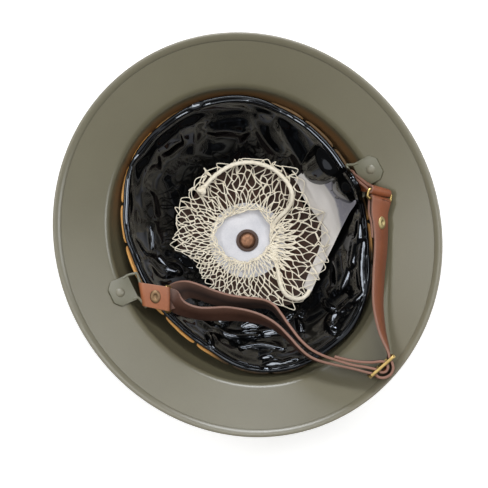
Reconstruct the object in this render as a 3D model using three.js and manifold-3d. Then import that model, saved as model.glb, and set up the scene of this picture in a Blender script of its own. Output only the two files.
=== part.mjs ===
// Steel brim helmet lying crown down, inside up: millimetres, +Z up, +Y front to back, +X to the right ear.
import * as THREE from 'three';
import { mergeVertices } from 'three/addons/utils/BufferGeometryUtils.js';
import Module from 'manifold-3d';

// Driving sizes of the steel
const GAP = 0.3;
const EDGE_HALF_LENGTH = 152.5;
const WAIST_HALF_LENGTH = 113.9;
const WAIST_NARROWER = 11.5;
const EDGE_NARROWER = 9.7;
const STEEL = 1.0;
const CROWN_RADIUS = 130;
const CROWN_REACH = 57;
const WALL_ANGLE = 79;
const LIP_RADIUS = 6.5;
const BRIM_ANGLE = 24.5;
const CROWN_LIFT = 1.6;
const CROWN_HOLE = 3.0;
const AROUND = 44;

// Rim strip, a folded steel channel
const RIM_REACH = 5.0;
const RIM_SHEET = 0.6;

// Lugs, their rivets and bails
const LUG_FORWARD = 3.1;
const LUG_INNER = 95.5;
const LUG_LENGTH = 19;
const LUG_HALF_WIDTH = 10;
const LUG_CLIP = 4.5;
const LUG_SHEET = 1.2;
const LUG_SEAT = 0.7;
const LUG_RIVET_AT = 105.8;
const LUG_RIVET_SHANK = 2.2;
const BAIL_WIRE = 1.1;
const BAILS = {
  left: { side: -1, far: [-84.5, 13.5, 90], near: [-93.4, -17, 90], nearNeck: 4.5 },
  right: { side: 1, far: [87, 18, 90.7], near: [88, -14.5, 90.7], nearNeck: 0 },
};

// Leather strap, tabs and brass
const STRAP_TURN = -26.2;
const STRAP_WIDTH = 16.5;
const STRAP_THICK = 2.0;
const TAB_HALF_WIDTH = 8.2;
const TAB_THICK = 2.0;
const RING_WIRE = 1.1;
const RING_LEFT = { tabBar: [-61.8, -47.5, 87.4], strapBar: [-53.6, -47.5, 86.4], along: [0, 1, 0], half: 11.4 };
const RING_RIGHT = { tabBar: [98.3, 37.8, 109], strapBar: [98.3, 26.6, 104.2], along: [-0.95, 0, 0.31], half: 11.4 };
const TAB_LEFT_AT = [-78.4, -42.6, 90];
const TAB_RIGHT_AT = [75.6, 43.8, 90.7];
const SLIDE_AT = [97.7, -97.9, 119.8];
const SLIDE_HEADING = 41;
const SLIDE_HALF = { length: 12.2, height: 10.6, bar: 1.8, centreBar: 1.0, sheet: 1.5 };
const RIVET_HEAD = { across: 3.4, along: 4.6, rise: 1.1, shank: 1.7 };

// Lining
const HEM_HEIGHT = 82.5;
const HEM_ROLL = 3.4;
const CLOTH = 1.2;
const BAND_TOP = 81.5;
const BAND_DROP = 18;
const BAND_THICK = 1.3;
const PAD_TOP = 80.5;
const PAD_DROP = 12;
const PAD_THICK = 2.6;
const PAD_COUNT = 20;
const PAD_SPACING = 2.6;
const LINER_SLOPE = 0.30;
const FELT = 2.5;
const COTTON = 1.6;
const LABEL = 0.5;
const NET_THICK = 1.6;
const NET_COLUMNS = 13;
const NET_ROWS = 6;
const NET_STRAND = 0.8;
const CORD_RADIUS = 1.8;

// Hemline of the cloth seen from above: angle in degrees from +X, radius in millimetres
const HEMLINE = [
  { angle: 6, radius: 89.5 }, { angle: 25, radius: 93 }, { angle: 49, radius: 99 },
  { angle: 67, radius: 103 }, { angle: 86, radius: 105.2 }, { angle: 107, radius: 104.5 },
  { angle: 122, radius: 102 }, { angle: 138, radius: 96.5 }, { angle: 152, radius: 91.5 },
  { angle: 172, radius: 87 }, { angle: 187, radius: 86 }, { angle: 198, radius: 85 },
  { angle: 209, radius: 86.5 }, { angle: 226, radius: 91 }, { angle: 240, radius: 98 },
  { angle: 252, radius: 102.5 }, { angle: 264, radius: 104.5 }, { angle: 285, radius: 103.5 },
  { angle: 301, radius: 100.5 }, { angle: 316, radius: 96 }, { angle: 330, radius: 91.5 },
  { angle: 350, radius: 89.5 },
];
// Sections of the cloth bowl down from the hem: share of the hemline radius, height
const BOWL = [
  { share: 0.97, z: 74 }, { share: 0.905, z: 60 }, { share: 0.82, z: 46 },
  { share: 0.69, z: 31.5 }, { share: 0.5, z: 18.5 }, { share: 0.24, z: 8 },
];
// Folds of the cloth: angle, half width in degrees, height inward, height of the middle, half depth
const FOLDS = [
  { angle: 326, width: 9, rise: 4.5, z: 60, depth: 18 }, { angle: 346, width: 8, rise: -4, z: 58, depth: 20 },
  { angle: 304, width: 8, rise: 6, z: 50, depth: 24 }, { angle: 286, width: 7, rise: -3.5, z: 56, depth: 20 },
  { angle: 268, width: 9, rise: 4.5, z: 60, depth: 18 }, { angle: 243, width: 10, rise: 4, z: 54, depth: 20 },
  { angle: 220, width: 8, rise: -3, z: 50, depth: 20 }, { angle: 200, width: 9, rise: 3.5, z: 48, depth: 20 },
  { angle: 172, width: 8, rise: 4, z: 46, depth: 18 }, { angle: 146, width: 10, rise: -3, z: 52, depth: 22 },
  { angle: 118, width: 9, rise: 3.5, z: 54, depth: 22 }, { angle: 92, width: 8, rise: -3, z: 56, depth: 20 },
  { angle: 66, width: 10, rise: 5, z: 52, depth: 24 }, { angle: 36, width: 9, rise: 6.5, z: 50, depth: 24 },
  { angle: 14, width: 8, rise: -4, z: 56, depth: 22 },
];
// Net edge from above, in the strap's turned frame: angle, radius
const NET_EDGE = [
  { angle: 0, radius: 66 }, { angle: 18, radius: 63 }, { angle: 33, radius: 57 }, { angle: 52, radius: 66 },
  { angle: 70, radius: 66 }, { angle: 90, radius: 63.5 }, { angle: 108, radius: 63.5 }, { angle: 126, radius: 65.5 },
  { angle: 140, radius: 60 }, { angle: 158, radius: 62 }, { angle: 176, radius: 58 }, { angle: 192, radius: 53 },
  { angle: 212, radius: 46.5 }, { angle: 231, radius: 49 }, { angle: 252, radius: 55 }, { angle: 280, radius: 60 },
  { angle: 304, radius: 67 }, { angle: 320, radius: 64.5 }, { angle: 345, radius: 66.5 },
];
const NET_HOLE = [
  { angle: 0, radius: 20.5 }, { angle: 45, radius: 25 }, { angle: 85, radius: 27.5 }, { angle: 118, radius: 25 },
  { angle: 155, radius: 27.5 }, { angle: 180, radius: 25.5 }, { angle: 210, radius: 20.5 },
  { angle: 250, radius: 18.5 }, { angle: 290, radius: 17.5 }, { angle: 330, radius: 18.5 },
];
// Draw cord, in the turned frame: right, up, rise over the net's upper face
const CORD_ROWS = [
  { right: 49.0, up: -40.5, rise: 0.8 }, { right: 44.5, up: -46.0, rise: 0.8 }, { right: 38.0, up: -47.5, rise: 0.8 },
  { right: 31.0, up: -44.5, rise: 0.8 }, { right: 27.0, up: -38.0, rise: 0.8 }, { right: 25.0, up: -29.0, rise: 0.8 },
  { right: 23.8, up: -20.0, rise: 0.8 }, { right: 21.5, up: -11.0, rise: 1.0 }, { right: 19.8, up: -3.0, rise: 1.2 },
  { right: 19.3, up: 5.0, rise: 1.2 }, { right: 21.0, up: 12.0, rise: 1.2 }, { right: 25.5, up: 18.0, rise: 1.0 },
  { right: 30.5, up: 22.5, rise: 0.8 }, { right: 34.2, up: 28.0, rise: 0.8 }, { right: 35.2, up: 34.0, rise: 0.8 },
  { right: 33.6, up: 40.3, rise: 0.8 }, { right: 28.4, up: 47.6, rise: 0.8 }, { right: 20.6, up: 54.4, rise: 0.8 },
  { right: 11.8, up: 58.2, rise: 0.8 }, { right: 2.2, up: 60.0, rise: 0.8 }, { right: -9.4, up: 58.8, rise: 0.8 },
  { right: -19.0, up: 54.5, rise: 0.8 }, { right: -27.8, up: 47.9, rise: 0.8 }, { right: -34.7, up: 40.0, rise: 0.8 },
];
// Cotton patch outline rows from its inner edge to its outer edge, turned frame: inner and outer right, up
const COTTON_ROWS = [
  { inRight: 37, inUp: 50, outRight: 46, outUp: 53 }, { inRight: 36, inUp: 42, outRight: 60, outUp: 45.5 },
  { inRight: 36, inUp: 33, outRight: 70, outUp: 39 }, { inRight: 36, inUp: 22, outRight: 78, outUp: 29.5 },
  { inRight: 37, inUp: 8, outRight: 74.5, outUp: 14 }, { inRight: 38, inUp: -8, outRight: 66.5, outUp: -6 },
  { inRight: 38, inUp: -22, outRight: 57.5, outUp: -25 }, { inRight: 37, inUp: -33, outRight: 50, outUp: -40 },
];
// Strap centre line, turned frame: right, up, height, plan heading and lean of the width
const STRAP_RIGHT_TAIL = [
  { right: 98.6, up: -2, z: 101.6, heading: 180, lean: 26 }, { right: 99.2, up: 8, z: 101.2, heading: 180, lean: 22 },
  { right: 98.6, up: 18, z: 101.4, heading: 180, lean: 19 },
];
const STRAP_DOWN = [
  { right: 98.9, up: 18, z: 106.4, heading: 180, lean: 19 }, { right: 100.2, up: 8, z: 105.6, heading: 180, lean: 22 },
  { right: 100.0, up: -2, z: 105.8, heading: 180, lean: 27 }, { right: 99.7, up: -14, z: 106.8, heading: 180, lean: 35 },
  { right: 99.1, up: -31.6, z: 109.0, heading: 180, lean: 46 }, { right: 98.4, up: -53, z: 112.2, heading: 182, lean: 56 },
  { right: 100.4, up: -72, z: 116.0, heading: 190, lean: 68 }, { right: 103.4, up: -86, z: 119.0, heading: 196, lean: 82 },
];
const STRAP_LOWER = [
  { right: 88.4, up: -102.6, z: 119.4, heading: 75, lean: 90 }, { right: 76.5, up: -99.6, z: 116.8, heading: 75, lean: 90 },
  { right: 63.9, up: -96.9, z: 113.0, heading: 75, lean: 90 }, { right: 52.5, up: -94.2, z: 109.2, heading: 70, lean: 88 },
  { right: 44.6, up: -90.6, z: 105.8, heading: 60, lean: 86 }, { right: 37.6, up: -85.0, z: 102.6, heading: 48, lean: 84 },
  { right: 30.4, up: -77.4, z: 99.4, heading: 44, lean: 82 }, { right: 23.6, up: -71.0, z: 97.0, heading: 46, lean: 78 },
  { right: 17.0, up: -66.6, z: 95.0, heading: 56, lean: 73 }, { right: 9.2, up: -63.2, z: 93.2, heading: 66, lean: 67 },
  { right: 1.6, up: -61.2, z: 91.6, heading: 73, lean: 62 }, { right: -7.0, up: -59.8, z: 90.0, heading: 80, lean: 58 },
  { right: -16.0, up: -59.2, z: 88.8, heading: 85, lean: 53 }, { right: -25.4, up: -59.0, z: 88.0, heading: 88, lean: 46 },
  { right: -34.4, up: -58.8, z: 87.8, heading: 91, lean: 37 }, { right: -42.0, up: -57.0, z: 88.2, heading: 93, lean: 26 },
  { right: -47.2, up: -48.6, z: 89.3, heading: 93, lean: 9 },
];
const STRAP_UPPER = [
  { right: -48.2, up: -45.6, z: 84.2, heading: 87, lean: 4 }, { right: -42.4, up: -44.2, z: 85.0, heading: 84, lean: 14 },
  { right: -33.6, up: -45.8, z: 86.4, heading: 76, lean: 28 }, { right: -23.4, up: -48.3, z: 87.4, heading: 75, lean: 42 },
  { right: -12.8, up: -50.2, z: 88.6, heading: 78, lean: 52 }, { right: -2.2, up: -51.0, z: 90.0, heading: 84, lean: 60 },
  { right: 7.4, up: -51.2, z: 91.2, heading: 86, lean: 66 }, { right: 14.2, up: -52.2, z: 92.8, heading: 72, lean: 72 },
  { right: 19.6, up: -55.2, z: 94.4, heading: 48, lean: 77 }, { right: 24.0, up: -60.4, z: 96.2, heading: 36, lean: 80 },
  { right: 30.6, up: -69.2, z: 99.2, heading: 39, lean: 83 }, { right: 38.7, up: -77.6, z: 102.4, heading: 48, lean: 85 },
  { right: 47.0, up: -83.6, z: 105.8, heading: 58, lean: 87 }, { right: 56.2, up: -88.0, z: 109.6, heading: 66, lean: 89 },
  { right: 65.3, up: -91.2, z: 113.4, heading: 71, lean: 90 }, { right: 76.5, up: -94.9, z: 117.0, heading: 71, lean: 90 },
  { right: 86.4, up: -98.1, z: 119.4, heading: 71, lean: 90 },
];
const STRAP_END = [
  { right: 91.0, up: -93.4, z: 119.4, heading: 75, lean: 90 }, { right: 84.6, up: -92.6, z: 118.8, heading: 78, lean: 90 },
  { right: 79.4, up: -91.2, z: 117.8, heading: 74, lean: 90 },
];
// Strap turns in the slide, slide frame: along the slide, outward, both in millimetres
const OUTER_TURN = [
  { along: 8.1, out: -0.8 }, { along: 7.3, out: 2.6 }, { along: 5.2, out: 6.4 }, { along: 0.9, out: 8.5 },
  { along: -3.9, out: 7.4 }, { along: -6.9, out: 4.2 }, { along: -7.4, out: 0.8 },
];
const INNER_TURN = [
  { along: -3.9, out: 0.2 }, { along: -3.4, out: 2.7 }, { along: -0.6, out: 4.6 }, { along: 2.6, out: 3.6 },
  { along: 3.7, out: 0.8 }, { along: 2.6, out: -2.6 },
];

// Colours and finishes
const FINISH = {
  paint: new THREE.MeshStandardMaterial({ color: 0x7d7a68, roughness: 0.6, metalness: 0.0 }),
  leather: new THREE.MeshStandardMaterial({ color: 0x8f563b, roughness: 0.55, metalness: 0.0 }),
  tan: new THREE.MeshStandardMaterial({ color: 0xc98f4e, roughness: 0.75, metalness: 0.0 }),
  brass: new THREE.MeshStandardMaterial({ color: 0xc9a94a, roughness: 0.3, metalness: 1.0 }),
  copper: new THREE.MeshStandardMaterial({ color: 0xaa6e46, roughness: 0.35, metalness: 1.0 }),
  washer: new THREE.MeshStandardMaterial({ color: 0x5f5049, roughness: 0.45, metalness: 1.0 }),
  oilcloth: new THREE.MeshStandardMaterial({ color: 0x0d0d0e, roughness: 0.25, metalness: 0.0 }),
  string: new THREE.MeshStandardMaterial({ color: 0xe1d7c3, roughness: 0.9, metalness: 0.0 }),
  felt: new THREE.MeshStandardMaterial({ color: 0x2b211b, roughness: 0.95, metalness: 0.0 }),
  cotton: new THREE.MeshStandardMaterial({ color: 0xc3bfbc, roughness: 0.9, metalness: 0.0 }),
  paper: new THREE.MeshStandardMaterial({ color: 0xd7d9de, roughness: 0.8, metalness: 0.0 }),
};

const wasm = await Module();
wasm.setup();
const group = new THREE.Group();
const rad = THREE.MathUtils.degToRad;
const V = (x, y, z) => new THREE.Vector3(x, y, z);

// A point of the turned frame in the part's frame
function turned(right, up, z) {
  const c = Math.cos(rad(STRAP_TURN));
  const s = Math.sin(rad(STRAP_TURN));
  return V(right * c - up * s, right * s + up * c, z);
}

// Smooth closed curve through rows of angle and radius
function around(rows) {
  const n = rows.length;
  return (degrees) => {
    const a = ((degrees - rows[0].angle) % 360 + 360) % 360 + rows[0].angle;
    let i = 0;
    while (i < n - 1 && rows[i + 1].angle <= a) i += 1;
    const from = rows[i].angle;
    const to = i < n - 1 ? rows[i + 1].angle : rows[0].angle + 360;
    const t = (a - from) / (to - from);
    const r = [-1, 0, 1, 2].map((k) => rows[(i + k + n) % n].radius);
    const m0 = (r[2] - r[0]) / 2;
    const m1 = (r[3] - r[1]) / 2;
    const h = t * t * (3 - 2 * t);
    return r[1] * (1 - h) + r[2] * h + m0 * t * (1 - t) ** 2 - m1 * t * t * (1 - t);
  };
}

// Solid from closed section rings joined in order, capped unless the rings close on themselves
function loft(rings, closed) {
  const n = rings[0].length;
  const position = [];
  const index = [];
  for (const ring of rings) {
    for (const p of ring) position.push(p.x, p.y, p.z);
  }
  const last = closed ? rings.length : rings.length - 1;
  for (let i = 0; i < last; i += 1) {
    const j = (i + 1) % rings.length;
    for (let k = 0; k < n; k += 1) {
      const m = (k + 1) % n;
      index.push(i * n + k, i * n + m, j * n + m, i * n + k, j * n + m, j * n + k);
    }
  }
  if (!closed) {
    const end = (rings.length - 1) * n;
    for (let k = 1; k < n - 1; k += 1) {
      index.push(0, k + 1, k, end, end + k, end + k + 1);
    }
  }
  return outward(position, index);
}

// Geometry with its faces turned out
function outward(position, index) {
  let volume = 0;
  const at = (i) => V(position[3 * i], position[3 * i + 1], position[3 * i + 2]);
  for (let i = 0; i < index.length; i += 3) {
    volume += at(index[i]).dot(at(index[i + 1]).cross(at(index[i + 2])));
  }
  if (volume < 0) {
    for (let i = 0; i < index.length; i += 3) [index[i + 1], index[i + 2]] = [index[i + 2], index[i + 1]];
  }
  const geometry = new THREE.BufferGeometry();
  geometry.setAttribute('position', new THREE.Float32BufferAttribute(position, 3));
  geometry.setIndex(index);
  return geometry;
}

// Joining and cutting of solids
function toSolid(geometry) {
  const bare = new THREE.BufferGeometry();
  bare.setAttribute('position', geometry.getAttribute('position').clone());
  if (geometry.index) bare.setIndex(geometry.index.clone());
  const merged = mergeVertices(bare, 1e-4);
  const vertProperties = new Float32Array(merged.getAttribute('position').array);
  const triVerts = new Uint32Array(merged.index.array);
  return new wasm.Manifold(new wasm.Mesh({ numProp: 3, vertProperties, triVerts }));
}

function fromSolid(solid) {
  const mesh = solid.getMesh();
  const geometry = new THREE.BufferGeometry();
  const position = new Float32Array(mesh.numVert * 3);
  for (let i = 0; i < mesh.numVert; i += 1) {
    for (let k = 0; k < 3; k += 1) position[3 * i + k] = mesh.vertProperties[mesh.numProp * i + k];
  }
  geometry.setAttribute('position', new THREE.BufferAttribute(position, 3));
  geometry.setIndex(Array.from(mesh.triVerts));
  return geometry;
}

function addPiece(name, geometry, material) {
  const shaped = geometry.index ? geometry : mergeVertices(geometry, 1e-4);
  shaped.computeVertexNormals();
  const mesh = new THREE.Mesh(shaped, material);
  mesh.name = name;
  group.add(mesh);
}

// Round bar between two points, for holes and shanks
function bar(from, to, radius, sides) {
  const axis = to.clone().sub(from);
  const geometry = new THREE.CylinderGeometry(radius, radius, axis.length(), sides);
  geometry.applyQuaternion(new THREE.Quaternion().setFromUnitVectors(V(0, 1, 0), axis.clone().normalize()));
  geometry.translate((from.x + to.x) / 2, (from.y + to.y) / 2, (from.z + to.z) / 2);
  return geometry;
}

// Wire along a closed or open line of points, round section
function wire(points, radius, sides, closed) {
  const n = points.length;
  const rings = [];
  let side = null;
  for (let i = 0; i < n; i += 1) {
    const before = points[closed ? (i + n - 1) % n : Math.max(i - 1, 0)];
    const after = points[closed ? (i + 1) % n : Math.min(i + 1, n - 1)];
    const tangent = after.clone().sub(before).normalize();
    if (!side) side = Math.abs(tangent.z) < 0.9 ? V(0, 0, 1) : V(1, 0, 0);
    side = side.clone().addScaledVector(tangent, -side.dot(tangent)).normalize();
    const up = tangent.clone().cross(side);
    rings.push(Array.from({ length: sides }, (_, k) => {
      const a = (2 * Math.PI * (k + 0.5)) / sides;
      return points[i].clone().addScaledVector(side, radius * Math.cos(a)).addScaledVector(up, radius * Math.sin(a));
    }));
  }
  return loft(rings, closed);
}

// Outer line of the shell in the long plane: half length, height, slope angle
function shellProfile() {
  const rows = [];
  const a1 = Math.asin(CROWN_REACH / CROWN_RADIUS);
  const a2 = rad(WALL_ANGLE);
  const a3 = rad(BRIM_ANGLE);
  const crownSteps = 3;
  const wallSteps = 5;
  const lipSteps = 2;
  const start = Math.asin(CROWN_HOLE / CROWN_RADIUS);
  for (let i = 0; i <= crownSteps; i += 1) {
    const a = start + ((a1 - start) * i) / crownSteps;
    rows.push({ r: CROWN_RADIUS * Math.sin(a), z: CROWN_LIFT + CROWN_RADIUS * (1 - Math.cos(a)), a });
  }
  const wallRadius = (WAIST_HALF_LENGTH - CROWN_REACH) / (Math.sin(a2) - Math.sin(a1));
  const crownEnd = rows[rows.length - 1];
  for (let i = 1; i <= wallSteps; i += 1) {
    const a = a1 + ((a2 - a1) * i) / wallSteps;
    const r = crownEnd.r + wallRadius * (Math.sin(a) - Math.sin(a1));
    rows.push({ r, z: crownEnd.z + wallRadius * (Math.cos(a1) - Math.cos(a)), a });
  }
  const wallEnd = rows[rows.length - 1];
  for (let i = 1; i <= lipSteps; i += 1) {
    const a = a2 + ((a3 - a2) * i) / lipSteps;
    const r = wallEnd.r + LIP_RADIUS * (Math.sin(a2) - Math.sin(a));
    rows.push({ r, z: wallEnd.z + LIP_RADIUS * (Math.cos(a) - Math.cos(a2)), a });
  }
  const lipEnd = rows[rows.length - 1];
  const edge = EDGE_HALF_LENGTH - GAP - RIM_SHEET;
  rows.push({ r: edge, z: lipEnd.z + (edge - lipEnd.r) * Math.tan(a3), a: a3 });
  return rows;
}
const PROFILE = shellProfile();
const BRIM_END = PROFILE[PROFILE.length - 1];
const LIP_END = PROFILE[PROFILE.length - 2];

// Half width of the oval whose half length is r
function halfWidth(r) {
  if (r <= WAIST_HALF_LENGTH) return r * (1 - WAIST_NARROWER / WAIST_HALF_LENGTH);
  const t = (r - WAIST_HALF_LENGTH) / (EDGE_HALF_LENGTH - WAIST_HALF_LENGTH);
  return r - WAIST_NARROWER - (EDGE_NARROWER - WAIST_NARROWER) * t;
}
function oval(r, z, angle) {
  return V(halfWidth(r) * Math.cos(angle), r * Math.sin(angle), z);
}
function ovalSolid(section) {
  const rings = [];
  for (let i = 0; i < AROUND; i += 1) {
    const angle = (2 * Math.PI * i) / AROUND;
    rings.push(section.map((p) => oval(p.r, p.z, angle)));
  }
  return loft(rings, true);
}

// Shell with its three rivet holes
const brimFrom = { x: halfWidth(LIP_END.r), z: LIP_END.z };
const brimTo = { x: halfWidth(BRIM_END.r), z: BRIM_END.z };
const sideSlope = Math.atan2(brimTo.z - brimFrom.z, brimTo.x - brimFrom.x);
// Point over the brim's outer face beside the ear: x outward, lift square to the brim
function overBrim(side, x, y, lift) {
  const z = brimFrom.z + (x - brimFrom.x) * Math.tan(sideSlope);
  return V(side * (x - lift * Math.sin(sideSlope)), y, z + lift * Math.cos(sideSlope));
}
function buildShell() {
  const outer = PROFILE.map((p) => ({ r: p.r, z: p.z }));
  const inner = PROFILE.map((p) => ({ r: p.r - STEEL * Math.sin(p.a), z: p.z + STEEL * Math.cos(p.a) }));
  inner[0].r = outer[0].r;
  let solid = toSolid(ovalSolid([...outer, ...inner.reverse()]));
  for (const side of [-1, 1]) {
    const low = overBrim(side, LUG_RIVET_AT, LUG_FORWARD, -8);
    const high = overBrim(side, LUG_RIVET_AT, LUG_FORWARD, 6);
    solid = solid.subtract(toSolid(bar(low, high, LUG_RIVET_SHANK + GAP, 16)));
  }
  addPiece('shell', fromSolid(solid), FINISH.paint);
}

function buildRim() {
  const a = BRIM_END.a;
  const at = (s, n) => ({
    r: BRIM_END.r + s * Math.cos(a) - n * Math.sin(a), z: BRIM_END.z + s * Math.sin(a) + n * Math.cos(a),
  });
  const top = STEEL + GAP;
  const end = GAP + RIM_SHEET;
  const section = [
    at(-RIM_REACH, top), at(-RIM_REACH, top + RIM_SHEET), at(GAP, top + RIM_SHEET), at(end, STEEL / 2),
    at(GAP, -end), at(-RIM_REACH, -end), at(-RIM_REACH, -GAP), at(GAP, -GAP), at(GAP, top),
  ];
  addPiece('rim_strip', ovalSolid(section), FINISH.paint);
}

// Lug plate with its wire bail, and the domed rivet
function buildLug(name, spec) {
  const { side } = spec;
  const plate = new THREE.Shape();
  const w = LUG_HALF_WIDTH;
  plate.moveTo(0, -w);
  plate.lineTo(LUG_LENGTH - LUG_CLIP, -w);
  plate.lineTo(LUG_LENGTH, -w + LUG_CLIP);
  plate.lineTo(LUG_LENGTH, w - LUG_CLIP);
  plate.lineTo(LUG_LENGTH - LUG_CLIP, w);
  plate.lineTo(0, w);
  plate.closePath();
  const flat = new THREE.ExtrudeGeometry(plate, { depth: LUG_SHEET, bevelEnabled: false });
  flat.rotateY(-sideSlope);
  const base = overBrim(1, LUG_INNER, LUG_FORWARD, STEEL + LUG_SEAT);
  flat.translate(base.x, base.y, base.z);
  if (side < 0) {
    flat.rotateZ(Math.PI);
    flat.translate(0, 2 * LUG_FORWARD, 0);
  }
  const mid = STEEL + LUG_SEAT + LUG_SHEET / 2;
  const root = (y, on) => overBrim(side, LUG_INNER + 4 + on, LUG_FORWARD + y, mid);
  const neck = (y, on) => overBrim(side, LUG_INNER + on, LUG_FORWARD + y, mid);
  const wide = spec.nearNeck > 0 ? 12.4 : w - 0.6;
  const far = V(...spec.far);
  const near = V(...spec.near);
  const inset = far.clone().sub(near).normalize().multiplyScalar(2.2);
  const farLeg = neck(w - 0.6, 0).sub(far).normalize().multiplyScalar(2.2);
  const nearLeg = neck(-wide, spec.nearNeck).sub(near).normalize().multiplyScalar(2.2);
  const line = [
    root(w - 1.5, 0), neck(w - 0.6, 0), far.clone().add(farLeg), far.clone().sub(inset),
    near.clone().add(inset), near.clone().add(nearLeg), neck(-wide, spec.nearNeck), root(1.5 - w, 2 * spec.nearNeck),
  ];
  const hole = bar(
    overBrim(side, LUG_RIVET_AT, LUG_FORWARD, -2), overBrim(side, LUG_RIVET_AT, LUG_FORWARD, 6), LUG_RIVET_SHANK + GAP, 16,
  );
  const solid = toSolid(flat).add(toSolid(wire(line, BAIL_WIRE, 6, false))).subtract(toSolid(hole));
  addPiece(`lug_${name}`, fromSolid(solid), FINISH.paint);
}

function buildLugRivet(name, side) {
  const top = STEEL + LUG_SEAT + LUG_SHEET + GAP;
  const profile = [
    [0, -1.2], [LUG_RIVET_SHANK - 0.3, -1.2], [LUG_RIVET_SHANK, -0.8], [LUG_RIVET_SHANK, top],
    [4.4, top], [4.2, top + 1.0], [2.6, top + 1.9], [0, top + 2.2],
  ].map(([r, z]) => new THREE.Vector2(r, z));
  const geometry = new THREE.LatheGeometry(profile, 12);
  geometry.rotateX(Math.PI / 2);
  geometry.rotateY(-side * sideSlope);
  const at = overBrim(side, LUG_RIVET_AT, LUG_FORWARD, 0);
  geometry.translate(at.x, at.y, at.z);
  addPiece(`lug_rivet_${name}`, geometry, FINISH.paint);
}

// Brass ring: a rectangle of wire whose long bars run along the tab and the strap folds
function buildRing(name, spec) {
  const a = turned(...spec.tabBar);
  const b = turned(...spec.strapBar);
  const along = turned(...spec.along).normalize();
  const across = b.clone().sub(a).normalize();
  const round = 2.2;
  const line = [];
  const corner = (base, sx, sy) => {
    const centre = base.clone().addScaledVector(along, sx * (spec.half - round)).addScaledVector(across, -sy * round);
    const steps = sx * sy > 0 ? [0, 0.5, 1] : [1, 0.5, 0];
    for (const t of steps) {
      const turn = (t * Math.PI) / 2;
      line.push(centre.clone().addScaledVector(along, sx * round * Math.cos(turn))
        .addScaledVector(across, sy * round * Math.sin(turn)));
    }
  };
  corner(b, 1, 1);
  corner(b, -1, 1);
  corner(a, -1, -1);
  corner(a, 1, -1);
  addPiece(`strap_ring_${name}`, wire(line, RING_WIRE, 8, true), FINISH.brass);
}

// Doubled leather tab between two bars, with an eye round each; a frame for its rivet is given back
function buildTab(name, start, startAlong, end, endAlong, slack, riveted) {
  const eye = BAIL_WIRE + slack + TAB_THICK / 2;
  const pinch = TAB_THICK / 2 + 0.2;
  const half = (length) => [
    [-eye, 0], [-0.71 * eye, 0.71 * eye], [0, eye], [0.9 * eye, 0.82 * eye], [2.4 * eye, pinch],
    [length - 2.4 * eye, pinch], [length - 0.9 * eye, 0.82 * eye], [length, eye],
    [length + 0.71 * eye, 0.71 * eye], [length + eye, 0],
  ];
  const edgeLine = (v) => {
    const a = start.clone().addScaledVector(startAlong, v);
    const b = end.clone().addScaledVector(endAlong, v);
    const length = a.distanceTo(b);
    const dir = b.clone().sub(a).normalize();
    const upper = half(length);
    const lower = upper.slice(1, -1).reverse().map(([x, n]) => [x, -n]);
    const middle = [...upper, ...lower];
    const put = (x, n) => {
      const t = THREE.MathUtils.clamp(x / length, 0, 1);
      const across = startAlong.clone().lerp(endAlong, t);
      const normal = dir.clone().cross(across).normalize();
      if (normal.z < 0) normal.negate();
      return a.clone().addScaledVector(dir, x).addScaledVector(normal, n);
    };
    return middle.map(([x, n], i) => {
      const before = middle[(i + middle.length - 1) % middle.length];
      const after = middle[(i + 1) % middle.length];
      const tx = after[0] - before[0];
      const tn = after[1] - before[1];
      const size = Math.hypot(tx, tn);
      const h = TAB_THICK / 2;
      return {
        outer: put(x - (tn / size) * h, n + (tx / size) * h), inner: put(x + (tn / size) * h, n - (tx / size) * h),
      };
    });
  };
  const one = edgeLine(-TAB_HALF_WIDTH);
  const two = edgeLine(TAB_HALF_WIDTH);
  const rings = one.map((p, i) => [p.outer, two[i].outer, two[i].inner, p.inner]);
  let solid = toSolid(loft(rings, true));
  const middle = start.clone().lerp(end, 0.5);
  const normal = end.clone().sub(start).cross(startAlong.clone().add(endAlong)).normalize();
  if (normal.z < 0) normal.negate();
  if (riveted) {
    const shank = bar(middle.clone().addScaledVector(normal, -8), middle.clone().addScaledVector(normal, 8),
      RIVET_HEAD.shank + GAP, 14);
    solid = solid.subtract(toSolid(shank));
  }
  addPiece(`strap_tab_${name}`, fromSolid(solid), FINISH.leather);
  return { at: middle, normal, along: startAlong.clone().add(endAlong).normalize(), reach: pinch + TAB_THICK / 2 };
}

// Brass rivet with an oval head on each side of a stack of leather
function buildRivet(name, frame, stack) {
  const top = stack + GAP;
  const profile = [
    [0, -top - 0.8], [0.9, -top - 0.8], [1, -top], [RIVET_HEAD.shank / RIVET_HEAD.along, -top],
    [RIVET_HEAD.shank / RIVET_HEAD.along, top], [1, top], [0.95, top + 0.6], [0.6, top + RIVET_HEAD.rise],
    [0.34, top + RIVET_HEAD.rise - 0.2], [0, top + 0.3],
  ].map(([r, z]) => new THREE.Vector2(r, z));
  const geometry = new THREE.LatheGeometry(profile, 10);
  geometry.rotateX(Math.PI / 2);
  const across = frame.normal.clone().cross(frame.along).normalize();
  const shape = new THREE.Matrix4().makeBasis(
    frame.along.clone().multiplyScalar(RIVET_HEAD.along), across.multiplyScalar(RIVET_HEAD.across), frame.normal,
  );
  geometry.applyMatrix4(shape);
  geometry.translate(frame.at.x, frame.at.y, frame.at.z);
  addPiece(name, geometry, FINISH.brass);
}

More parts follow.
